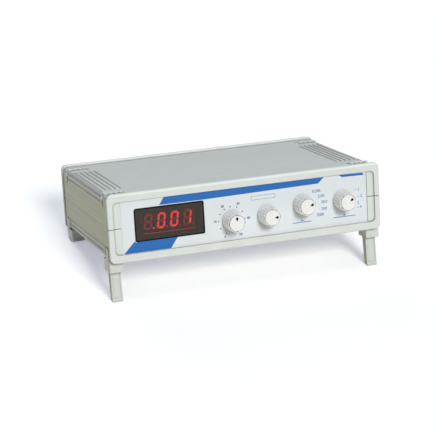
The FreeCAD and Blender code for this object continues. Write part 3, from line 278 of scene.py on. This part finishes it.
def body_place(nodes, links):
    """The place on the case in body coordinates, in metres, as separate x, y and z."""
    where = nodes.new("ShaderNodeTexCoord")
    mapping = nodes.new("ShaderNodeMapping")
    mapping.vector_type = "TEXTURE"
    mapping.inputs["Location"].default_value = SHIFT
    mapping.inputs["Rotation"].default_value = (math.radians(-STANCE), 0, 0)
    axes = nodes.new("ShaderNodeSeparateXYZ")
    links.new(where.outputs["Object"], mapping.inputs["Vector"])
    links.new(mapping.outputs["Vector"], axes.inputs["Vector"])
    return axes.outputs["X"], axes.outputs["Y"], axes.outputs["Z"]


def rise(nodes, links, value, low, high):
    """0 below low mm, 1 above high mm, or the other way round where low is the greater."""
    node = nodes.new("ShaderNodeMapRange")
    node.inputs["From Min"].default_value = low * MM
    node.inputs["From Max"].default_value = high * MM
    links.new(value, node.inputs["Value"])
    return node.outputs["Result"]


def side_streaks(nodes, links, tint, depth):
    """Faint lines along the two side walls, which the mould leaves there."""
    along = noise(nodes, links, 700, 4.0, (1, 60, 1))
    lines = ramp(nodes, links, along, (0.35, grey(1 - depth)), (0.62, WHITE))
    walls = ramp(nodes, links, facing(nodes, links, "X"), (0.7, BLACK), (0.95, WHITE))
    return blended(nodes, links, "MULTIPLY", tint, lines, walls)


def flank_and_side_shade(nodes, links, tint, depth):
    """Painted shade on the slopes between the ribs and along the long edges, and a darker, warmer painted
    shade on the side walls.
    """
    flank_grey = grey(1 - depth)
    slope = facing(nodes, links, "X")
    shade = ramp(nodes, links, slope, (0.10, WHITE), (0.30, flank_grey), (0.88, flank_grey), (0.98, SIDE_WALL_SHADE))
    ends = ramp(nodes, links, facing(nodes, links, "Y"), (0.25, BLACK), (0.45, WHITE))
    return blended(nodes, links, "MULTIPLY", tint, blended(nodes, links, "LIGHTEN", shade, ends))


def crest_highlight(nodes, links, tint, gain):
    """The ribs and scalloped bars stand proud of the walls: a painted highlight keeps their crests pale and
    makes everything below them darker.
    """
    x, y, z = body_place(nodes, links)
    out = math_node(nodes, links, "ABSOLUTE", x)
    top = rise(nodes, links, z, TOP_Z + TOP_CREST[0], TOP_Z + TOP_CREST[1])
    side = rise(nodes, links, out, SIDE_X + SIDE_CREST[0], SIDE_X + SIDE_CREST[1])
    front = rise(nodes, links, y, RIM_Y, RIM_Y + RIM_FADE)
    back = rise(nodes, links, y, CASE_D - RIM_Y, CASE_D - RIM_Y - RIM_FADE)
    side = math_node(nodes, links, "MULTIPLY", side, math_node(nodes, links, "MULTIPLY", front, back))
    proud = math_node(nodes, links, "MAXIMUM", top, side)
    shade = ramp(nodes, links, proud, (0.0, grey(1 - gain)), (1.0, WHITE))
    return blended(nodes, links, "MULTIPLY", tint, shade)


# Materials


def surface(name, colour, rough, metal=0.0, mottle=0.05, mottle_scale=60.0, grain=0.0, grain_scale=2500.0,
            length=(1, 1, 1), rough_spread=0.08, wear_and_highlight=0.0, crevice_shade=None, reach=0.003, streaks=0.0, shine=0.3):
    """A solid surface with uneven colour and gloss, a fine grain, edges rubbed pale with a painted
    highlight, and painted shade in its corners.
    """
    m, nodes, links = new_material(name)
    shader = nodes["Principled BSDF"]
    shader.inputs["Metallic"].default_value = metal
    shader.inputs["Specular IOR Level"].default_value = shine
    cloud = noise(nodes, links, mottle_scale, 4.0, length)
    tint = ramp(nodes, links, cloud, (0.3, scaled(colour, 1 - mottle)), (0.7, scaled(colour, 1 + mottle)))
    if streaks:
        tint = side_streaks(nodes, links, tint, streaks)
        # Painted shade on the rib flanks and side walls, and a painted highlight on the crests.
        tint = flank_and_side_shade(nodes, links, tint, FLANK_SHADE)
        tint = crest_highlight(nodes, links, tint, CREST_GAIN)
    # Outer edges rubbed pale, with a painted highlight along them.
    if wear_and_highlight:
        tint = blended(nodes, links, "MULTIPLY", tint, edge_light(nodes, links, WEAR_AND_HIGHLIGHT_REACH, wear_and_highlight))
    # Painted shade in corners and grooves.
    if crevice_shade:
        tint = blended(nodes, links, "MULTIPLY", tint, crevice(nodes, links, reach, crevice_shade))
    links.new(tint, shader.inputs["Base Color"])
    gloss = ramp(nodes, links, cloud, (0.3, grey(rough - rough_spread)), (0.7, grey(rough + rough_spread)))
    links.new(gloss, shader.inputs["Roughness"])
    if grain:
        bump = nodes.new("ShaderNodeBump")
        bump.inputs["Strength"].default_value = grain
        bump.inputs["Distance"].default_value = GRAIN_DEPTH
        links.new(noise(nodes, links, grain_scale, 2.0, length), bump.inputs["Height"])
        links.new(bump.outputs["Normal"], shader.inputs["Normal"])
    return m


def case_plastic():
    # Painted shade in its corners and grooves, on its rib flanks and side walls, and painted highlights on
    # its crests and outer edges.
    return surface("case_plastic", CASE_GREY, 0.60, mottle=0.02, mottle_scale=70, grain=0.35,
                   grain_scale=2600, wear_and_highlight=0.12, rough_spread=0.012, crevice_shade=CORNER_SHADE, reach=0.0022, streaks=0.12)


def foot_plastic():
    # Painted shade in its corners and grooves, on its slopes and side walls, and painted highlights on its
    # crests and outer edges.
    return surface("foot_plastic", scaled(CASE_GREY, 0.90), 0.45, mottle=0.03, grain=0.15, wear_and_highlight=0.12,
                   crevice_shade=scaled(CORNER_SHADE, 1.8), streaks=0.12)


def panel_aluminium():
    return surface("panel_aluminium", (0.70, 0.71, 0.71, 1), 0.38, metal=1.0, mottle=0.06, mottle_scale=140,
                   grain=0.12, grain_scale=1800, length=(25, 1, 1))


def overlay_film():
    # Painted shade in its corners.
    return surface("overlay_film", FILM_WHITE, 0.40, mottle=0.012, mottle_scale=40, grain=0.06,
                   grain_scale=3500, crevice_shade=(0.86, 0.86, 0.84, 1))


def black_plastic():
    # Its edges rubbed pale, with a strong painted highlight along them.
    return surface("black_plastic", (0.030, 0.030, 0.031, 1), 0.48, mottle=0.2, grain=0.25, wear_and_highlight=0.8)


def module_face():
    return surface("module_face", (0.022, 0.015, 0.015, 1), 0.30, mottle=0.15, grain=0.05)


def circuit_board():
    return surface("circuit_board", (0.022, 0.135, 0.060, 1), 0.35, mottle=0.3, mottle_scale=700, grain=0.3,
                   grain_scale=900, length=(1, 1, 5))


def milky(material):
    """Let light spread a few millimetres inside a white plastic."""
    shader = material.node_tree.nodes["Principled BSDF"]
    shader.inputs["Subsurface Weight"].default_value = 0.35
    shader.inputs["Subsurface Radius"].default_value = (1.0, 0.97, 0.90)
    shader.inputs["Subsurface Scale"].default_value = 0.004
    return material


def knob_plastic():
    # Faint painted shade in its flutes and corners, and a faint painted highlight on its edges.
    return milky(surface("knob_plastic", (0.975, 0.975, 0.95, 1), 0.40, mottle=0.02, grain=0.04, wear_and_highlight=0.05,
                         crevice_shade=(0.97, 0.97, 0.95, 1)))


def cap_plastic():
    # Painted shade in its corners, and a faint painted highlight on its edges.
    return milky(surface("cap_plastic", (0.93, 0.935, 0.90, 1), 0.32, mottle=0.03, mottle_scale=300,
                         grain=0.10, grain_scale=900, wear_and_highlight=0.04, crevice_shade=(0.85, 0.85, 0.83, 1)))


def plated_steel():
    return surface("plated_steel", (0.58, 0.58, 0.57, 1), 0.34, metal=1.0, mottle=0.08, grain=0.15,
                   wear_and_highlight=0.05)


def nickel():
    return surface("nickel", (0.62, 0.60, 0.56, 1), 0.20, metal=1.0, mottle=0.05, grain=0.08)


def brass():
    return surface("brass", (0.62, 0.46, 0.20, 1), 0.30, metal=1.0, mottle=0.12, mottle_scale=260,
                   grain=0.10)


def core_steel():
    """Varnished sheets on edge: thin lines across the stack."""
    return surface("core_steel", (0.075, 0.070, 0.070, 1), 0.42, metal=0.6, mottle=0.5, mottle_scale=45,
                   grain=0.5, grain_scale=700, length=(20, 0.33, 20))


def coil_tape():
    return surface("coil_tape", (0.70, 0.48, 0.07, 1), 0.22, mottle=0.10, mottle_scale=120, grain=0.35,
                   grain_scale=240, length=(1, 3, 1))


def capacitor_sleeve():
    return surface("capacitor_sleeve", (0.020, 0.030, 0.090, 1), 0.25, mottle=0.15, grain=0.08, wear_and_highlight=0.5)


def phenolic():
    return surface("phenolic", (0.17, 0.085, 0.042, 1), 0.46, mottle=0.3, mottle_scale=420, grain=0.2)


def white_insulator():
    return surface("white_insulator", (0.78, 0.77, 0.73, 1), 0.50, mottle=0.04, grain=0.06, wear_and_highlight=0.05)


def grey_cable():
    """A flat ribbon of moulded conductors: fine ridges along it."""
    return surface("grey_cable", (0.38, 0.39, 0.40, 1), 0.5, mottle=0.06, grain=0.6, grain_scale=900,
                   length=(1, 50, 50))


def ink(name, colour, rough=0.38, shine=0.3):
    """Screen-printed ink: nearly even, with the faint speckle of its mesh."""
    return surface(name, colour, rough, mottle=0.05, mottle_scale=1400, grain=0.05, shine=shine)


def fuse_glass():
    m, nodes, links = new_material("fuse_glass")
    shader = nodes["Principled BSDF"]
    shader.inputs["Transmission Weight"].default_value = 0.6
    shader.inputs["IOR"].default_value = 1.5
    smear = noise(nodes, links, 500)
    tint = ramp(nodes, links, smear, (0.4, (0.55, 0.58, 0.58, 1)), (0.6, (0.75, 0.78, 0.78, 1)))
    links.new(tint, shader.inputs["Base Color"])
    links.new(ramp(nodes, links, smear, (0.4, grey(0.06)), (0.6, grey(0.16))), shader.inputs["Roughness"])
    return m


def glow(name, colour, strength, body):
    """A light-emitting face, a little uneven."""
    m, nodes, links = new_material(name)
    shader = nodes["Principled BSDF"]
    shader.inputs["Roughness"].default_value = 0.4
    shader.inputs["Emission Strength"].default_value = strength
    spread = noise(nodes, links, 700, 2.0)
    light = ramp(nodes, links, spread, (0.35, scaled(colour, 0.86)), (0.65, colour))
    tint = ramp(nodes, links, spread, (0.35, scaled(body, 0.9)), (0.65, body))
    links.new(light, shader.inputs["Emission Color"])
    links.new(tint, shader.inputs["Base Color"])
    return m


def led_lit():
    return glow("led_lit", (1.0, 0.36, 0.52, 1), 8.0, (0.5, 0.05, 0.05, 1))


def led_dark():
    return glow("led_dark", (1.0, 0.16, 0.12, 1), 1.6, (0.16, 0.03, 0.03, 1))


# Painted reflection: a faint red glow for the strips along the modules' edges.
def reflection_glow(name, strength):
    return glow(name, (1.0, 0.2, 0.15, 1), strength, (0.05, 0.01, 0.01, 1))


def display_lens():
    """Dark acrylic: it tints what shines through it and keeps a soft grey reflection."""
    m, nodes, links = new_material("display_lens")
    shader = nodes["Principled BSDF"]
    haze = noise(nodes, links, 120)
    tint = ramp(nodes, links, haze, (0.3, (0.056, 0.050, 0.042, 1)), (0.7, (0.066, 0.059, 0.050, 1)))
    links.new(tint, shader.inputs["Base Color"])
    links.new(ramp(nodes, links, haze, (0.3, grey(0.30)), (0.7, grey(0.40))), shader.inputs["Roughness"])
    clear = nodes.new("ShaderNodeBsdfTransparent")
    clear.inputs["Color"].default_value = (0.62, 0.16, 0.14, 1)
    mix = nodes.new("ShaderNodeMixShader")
    mix.inputs["Fac"].default_value = 0.5
    links.new(shader.outputs["BSDF"], mix.inputs[1])
    links.new(clear.outputs["BSDF"], mix.inputs[2])
    links.new(mix.outputs["Shader"], nodes["Material Output"].inputs["Surface"])
    return m


SLOT_MAKERS = {maker.__name__: maker for maker in (
    case_plastic, foot_plastic, panel_aluminium, overlay_film, display_lens, black_plastic, module_face,
    led_lit, led_dark, circuit_board, knob_plastic, cap_plastic, plated_steel, nickel, brass, core_steel,
    coil_tape, capacitor_sleeve, phenolic, white_insulator, fuse_glass, grey_cable)}


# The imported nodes


def soften(obj, width, corner):
    """Round an imported piece's sharp edges and shade its shallow facets as one curve."""
    mesh = obj.data
    for name in ("custom_normal", "sharp_edge", "sharp_face"):
        if name in mesh.attributes:
            mesh.attributes.remove(mesh.attributes[name])
    mesh.polygons.foreach_set("use_smooth", [True] * len(mesh.polygons))
    weld = obj.modifiers.new("weld", "WELD")
    weld.merge_threshold = 0.00001
    bevel = obj.modifiers.new("bevel", "BEVEL")
    bevel.width = width
    bevel.segments = 2
    bevel.limit_method = "ANGLE"
    bevel.angle_limit = math.radians(corner)
    bevel.use_clamp_overlap = False
    bevel.harden_normals = True


def dress_nodes():
    made = {}
    for part in frame["record"]["subparts"]:
        slot = part["material_slot"]
        if slot not in made:
            made[slot] = SLOT_MAKERS[slot]()
        obj = frame["nodes"][part["node"]]
        obj.data.materials.clear()
        obj.data.materials.append(made[slot])
        soften(obj, BEVEL.get(slot, PLAIN_BEVEL), CASE_CORNER if slot == "case_plastic" else ROUND_CORNER)
    return made


# Forms for the pieces that are added


def add_piece(name, bm, material, body):
    bmesh.ops.recalc_face_normals(bm, faces=bm.faces)
    mesh = bpy.data.meshes.new(name)
    bm.to_mesh(mesh)
    bm.free()
    mesh.materials.append(material)
    obj = bpy.data.objects.new(name, mesh)
    bpy.context.scene.collection.objects.link(obj)
    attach(obj, body)


def prism(bm, front, back):
    """A closed block between two rings of points."""
    near = [bm.verts.new(point) for point in front]
    far = [bm.verts.new(point) for point in back]
    bm.faces.new(near)
    bm.faces.new(list(reversed(far)))
    for i in range(len(near)):
        bm.faces.new((near[i - 1], near[i], far[i], far[i - 1]))


def slab(bm, outline, y_front, y_back):
    """A block on the case with an outline of (x, z) points."""
    prism(bm, [at(x, y_front, z) for x, z in outline], [at(x, y_back, z) for x, z in outline])


def printed(bm, outline):
    """A flat of ink on the film."""
    slab(bm, outline, FILM_Y - INK_T, FILM_Y)


def frame_slab(bm, outer, inner, y_front, y_back):
    """A thin flat frame between two outlines with as many points each."""
    loops = []
    for y, outline in ((y_front, outer), (y_front, inner), (y_back, inner), (y_back, outer)):
        loops.append([bm.verts.new(at(x, y, z)) for x, z in outline])
    for a, b in zip(loops, loops[1:] + loops[:1]):
        for i in range(len(outer)):
            bm.faces.new((a[i - 1], a[i], b[i], b[i - 1]))


def bar(x0, x1, z0, z1):
    return ((x0, z0), (x1, z0), (x1, z1), (x0, z1))


def round_box(x0, x1, z0, z1, r, steps=5):
    points = []
    corners = ((x1 - r, z1 - r), (x0 + r, z1 - r), (x0 + r, z0 + r), (x1 - r, z0 + r))
    for quarter, (cx, cz) in enumerate(corners):
        for i in range(steps + 1):
            a = math.pi / 2 * (quarter + i / steps)
            points.append((cx + r * math.cos(a), cz + r * math.sin(a)))
    return points


def disc(x, z, r, steps=16):
    angles = [math.tau * i / steps for i in range(steps)]
    return [(x + r * math.cos(a), z + r * math.sin(a)) for a in angles]


def add_number(name, text, x, z, height, material):
    """A plain number printed on the panel, centred at (x, z)."""
    curve = bpy.data.curves.new(name, "FONT")
    curve.body = text
    curve.size = height * MM * TYPE_SIZE
    curve.align_x = "CENTER"
    curve.align_y = "CENTER"
    curve.extrude = INK_T * MM / 2
    curve.offset = INK_SPREAD * MM
    source = bpy.data.objects.new(name + "_outline", curve)
    bpy.context.scene.collection.objects.link(source)
    bpy.context.view_layer.update()
    mesh = bpy.data.meshes.new_from_object(source)
    bpy.data.objects.remove(source)
    bpy.data.curves.remove(curve)
    turn = Matrix((RIGHT, UP, FORTH)).transposed().to_4x4()
    mesh.transform(Matrix.Translation(at(x, FILM_Y - INK_T / 2, z)) @ turn)
    bm = bmesh.new()
    bm.from_mesh(mesh)
    bpy.data.meshes.remove(mesh)
    add_piece(name, bm, material, "case")


# Print on the front film


def print_bands(blue):
    bm = bmesh.new()
    for outline in (UPPER_BAND, SMALL_BAND, LOWER_BAND):
        printed(bm, outline)
    add_piece("printed_bands", bm, blue, "case")


def dial_point(degrees, r):
    a = math.radians(degrees)
    return DIAL_PLACE[0] + r * math.cos(a), DIAL_PLACE[1] + r * math.sin(a)


def print_dial(navy):
    """A dot for every step of the temperature dial and a number for every second one."""
    bm = bmesh.new()
    for degrees in DIAL_DEG:
        printed(bm, disc(*dial_point(degrees, DIAL_R), DIAL_DOT_R))
    add_piece("dial_dots", bm, navy, "case")
    for i, degrees in enumerate(DIAL_DEG):
        if i % 2 == 0:
            x, z = dial_point(degrees, DIAL_R + DIAL_NUMBER_OUT)
            add_number("dial_number_" + str(i), str(i * DIAL_STEP), x, z, DIAL_NUMBER_H, navy)


def print_marks(pale):
    """Plain numbers at the places of the two switches, with short leaders to those of the second."""
    for label, marks in (("range", RANGE_MARKS), ("function", FUNCTION_MARKS)):
        for i, (text, x, z) in enumerate(marks):
            add_number(label + "_mark_" + str(i + 1), text, x, z, MARK_H, pale)
    bm = bmesh.new()
    for _, x, z in FUNCTION_MARKS:
        printed(bm, bar(x - LEADER_OUT[0], x - LEADER_OUT[1], z - LEADER_HALF, z + LEADER_HALF))
    add_piece("function_leaders", bm, pale, "case")


def print_rules(pale):
    """A plain rule with a small triangle under each switch, and a thin box over the second knob."""
    bm = bmesh.new()
    for x, z, half in RULES:
        low = z + TRIANGLE_RISE[0]
        printed(bm, bar(x - half, x + half, z - RULE_HALF, z + RULE_HALF))
        printed(bm, ((x - TRIANGLE_HALF, low), (x + TRIANGLE_HALF, low), (x, z + TRIANGLE_RISE[1])))
    x0, x1, z0, z1 = BOX
    line = BOX_LINE
    outer = round_box(x0, x1, z0, z1, BOX_R)
    inner = round_box(x0 + line, x1 - line, z0 + line, z1 - line, BOX_R - line)
    frame_slab(bm, outer, inner, FILM_Y - INK_T, FILM_Y)
    add_piece("printed_rules", bm, pale, "case")


# The display window


def window_border(black):
    """The lens's painted rim."""
    x0, x1, z0, z1 = WINDOW
    outer = round_box(x0 + RIM_OUT, x1 - RIM_OUT, z0 + RIM_OUT, z1 - RIM_OUT, WINDOW_R)
    inner = round_box(x0 + RIM_IN, x1 - RIM_IN, z0 + RIM_IN, z1 - RIM_IN, RIM_INNER_R)
    bm = bmesh.new()
    frame_slab(bm, outer, inner, LENS_Y - INK_T, LENS_Y)
    add_piece("window_border", bm, black, "case")


def window_corners(white):
    """The film's rounded window covers the lens's four corner tips."""
    x0, x1, z0, z1 = WINDOW
    bm = bmesh.new()
    for cx, cz, sx, sz in ((x0, z0, 1, 1), (x1, z0, -1, 1), (x1, z1, -1, -1), (x0, z1, 1, -1)):
        outline = [(cx, cz)]
        for i in range(WINDOW_STEPS + 1):
            a = math.pi / 2 * i / WINDOW_STEPS
            x = cx + sx * WINDOW_R * (1 - math.cos(a))
            z = cz + sz * WINDOW_R * (1 - math.sin(a))
            outline.append((x, z))
        slab(bm, outline, LENS_Y - INK_T * 2, FILM_Y)
    add_piece("window_corners", bm, white, "case")


def module_outline(faint, bright):
    """Glowing strips along the modules' two ends and, brightest, along the bottom: a painted reflection of
    their edges.
    """
    x0, x1, z0, z1 = MODULES
    bm = bmesh.new()
    for left in (x0, x1 - END_GLOW_W):
        slab(bm, bar(left, left + END_GLOW_W, z0, z1), *GLOW_Y)
    add_piece("module_edge_glow", bm, faint, "case")
    bm = bmesh.new()
    slab(bm, bar(x0 + BOTTOM_GLOW_IN, x1, z0, z0 + BOTTOM_GLOW_H), *GLOW_Y)
    add_piece("module_bottom_glow", bm, bright, "case")


# Trim on the case


def fill_rear_feet(material):
    """A web just inside each rear foot's front face."""
    bm = bmesh.new()
    for side in (-1, 1):
        xa, xb = sorted(side * x for x in WEB_X)
        slab(bm, round_box(xa, xb, *WEB_Z, WEB_R), *WEB_Y)
    add_piece("rear_foot_webs", bm, material, "case")


def fill_seams(material):
    """The lower half's tongue, which shows in the groove between the halves along each side wall."""
    bm = bmesh.new()
    for side in (-1, 1):
        xa, xb = sorted(side * (SIDE_X - inward) for inward in SEAM_IN)
        slab(bm, bar(xa, xb, *SEAM_Z), *SEAM_Y)
    add_piece("seam_tongues", bm, material, "case")


# Knobs


def pointer_outline():
    """A drop with its round end outward and its tail towards the knob's middle, as (u, v)."""
    start, sweep = DOT_ARC
    points = []
    for i in range(DOT_STEPS + 1):
        a = math.radians(start + sweep * i / DOT_STEPS)
        points.append((DOT_R * math.cos(a), DOT_OUT + DOT_R * math.sin(a)))
    tip = DOT_OUT - DOT_R - TAIL_LENGTH
    return points + [(-TAIL_HALF, tip), (TAIL_HALF, tip)]


def add_pointer(control, black):
    """An inked drop on a knob's cap, with a plug of the same ink under its dot."""
    centre = joint_place(control + "_turn") + FORTH * (CAP_PROUD * MM)
    a = math.radians(POINTER_DEG[control] - 90)
    right = RIGHT * math.cos(a) + UP * math.sin(a)
    up = UP * math.cos(a) - RIGHT * math.sin(a)

    def ring(outline, proud):
        return [centre + (right * u + up * v + FORTH * proud) * MM for u, v in outline]

    drop = pointer_outline()
    plug = disc(0, DOT_OUT, DOT_R)
    bm = bmesh.new()
    prism(bm, ring(drop, DROP_PROUD), ring(drop, 0.0))
    prism(bm, ring(plug, PLUG_PROUD), ring(plug, -PLUG_DEEP))
    add_piece(control + "_pointer", bm, black, control + "_control")


# Stage, light and camera


def seen_ray(nodes, links):
    """1 for what the camera sees, also in a reflection or through glass, and 0 for plain light."""
    path = nodes.new("ShaderNodeLightPath")
    seen = path.outputs["Is Camera Ray"]
    for ray in ("Is Glossy Ray", "Is Transmission Ray"):
        seen = math_node(nodes, links, "MAXIMUM", seen, path.outputs[ray])
    return seen


def floor_paper():
    """White paper, brighter to the camera and in reflections, so that it keeps only a pale cool shadow."""
    m = surface("floor_paper", (0.94, 0.91, 0.82, 1), 0.8, mottle=0.004, mottle_scale=3, rough_spread=0.02)
    nodes = m.node_tree.nodes
    links = m.node_tree.links
    glowing = nodes.new("ShaderNodeEmission")
    glowing.inputs["Color"].default_value = FLOOR_GLOW
    links.new(seen_ray(nodes, links), glowing.inputs["Strength"])
    both = nodes.new("ShaderNodeAddShader")
    links.new(nodes["Principled BSDF"].outputs["BSDF"], both.inputs[0])
    links.new(glowing.outputs["Emission"], both.inputs[1])
    links.new(both.outputs["Shader"], nodes["Material Output"].inputs["Surface"])
    return m


def add_floor():
    mesh = bpy.data.meshes.new("floor")
    far = FLOOR_HALF
    corners = [(-far, -far, 0), (far, -far, 0), (far, far, 0), (-far, far, 0)]
    mesh.from_pydata(corners, [], [(0, 1, 2, 3)])
    floor = bpy.data.objects.new("floor", mesh)
    bpy.context.scene.collection.objects.link(floor)
    mesh.materials.append(floor_paper())


def add_sun(name, azimuth, elevation, strength, spread, colour):
    """A soft distant light: azimuth is where it stands, 0 in front, 90 at the right, 180 behind."""
    data = bpy.data.lights.new(name, "SUN")
    data.energy = strength
    data.angle = math.radians(spread)
    data.color = colour
    lamp = bpy.data.objects.new(name, data)
    a = math.radians(azimuth)
    e = math.radians(elevation)
    source = Vector((math.sin(a) * math.cos(e), -math.cos(a) * math.cos(e), math.sin(e)))
    lamp.rotation_euler = source.to_track_quat("Z", "Y").to_euler()
    bpy.context.scene.collection.objects.link(lamp)


def add_lights():
    add_sun("key_light", 4.0, 35.0, 2.10, 18.0, (1.0, 1.0, 1.0))
    add_sun("top_light", 0.0, 86.0, 0.34, 25.0, (0.87, 0.95, 1.0))
    add_sun("back_fill", 186.0, 32.0, 0.42, 30.0, (0.90, 0.97, 1.0))


def add_room():
    """A white room that lights the case only a little."""
    world = bpy.data.worlds.new("room")
    world.use_nodes = True
    nodes = world.node_tree.nodes
    links = world.node_tree.links
    walls = ramp(nodes, links, seen_ray(nodes, links), (0.0, ROOM), (1.0, WHITE))
    links.new(walls, nodes["Background"].inputs["Color"])
    bpy.context.scene.world = world


def add_camera():
    a = math.radians(CAMERA_AZIMUTH)
    e = math.radians(CAMERA_ELEVATION)
    roll = math.radians(CAMERA_ROLL)
    forward = Vector((math.sin(a) * math.cos(e), math.cos(a) * math.cos(e), -math.sin(e)))
    level = Vector((math.cos(a), -math.sin(a), 0))
    head = level.cross(forward)
    right = level * math.cos(roll) + head * math.sin(roll)
    up = head * math.cos(roll) - level * math.sin(roll)
    data = bpy.data.cameras.new("camera")
    data.lens = CAMERA_LENS
    data.sensor_width = SENSOR
    data.clip_end = VIEW_END
    camera = bpy.data.objects.new("camera", data)
    place = (Vector(CAMERA_TARGET) - forward * CAMERA_DISTANCE) * MM
    camera.matrix_world = Matrix.Translation(place) @ Matrix((right, up, -forward)).transposed().to_4x4()
    bpy.context.scene.collection.objects.link(camera)
    bpy.context.scene.camera = camera


def add_print():
    navy = ink("ink_navy", (0.060, 0.080, 0.300, 1))
    pale = ink("ink_grey_blue", (0.180, 0.260, 0.500, 1))
    black = ink("ink_black", (0.008, 0.006, 0.006, 1), 0.6, 0.05)
    print_bands(ink("ink_blue", (0.020, 0.140, 0.450, 1)))
    print_dial(navy)
    print_marks(pale)
    print_rules(pale)
    window_border(black)
    window_corners(ink("ink_white", FILM_WHITE, 0.40))
    for control in POINTER_DEG:
        add_pointer(control, black)


def main():
    bpy.context.scene.view_settings.view_transform = "Standard"
    add_camera()
    add_lights()
    add_room()
    add_floor()
    made = dress_nodes()
    fill_rear_feet(made["foot_plastic"])
    fill_seams(made["case_plastic"])
    add_print()
    # Painted reflection: glowing strips along the modules' edges.
    module_outline(reflection_glow("edge_faint", 1.3), reflection_glow("edge_bright", 3.6))


main()
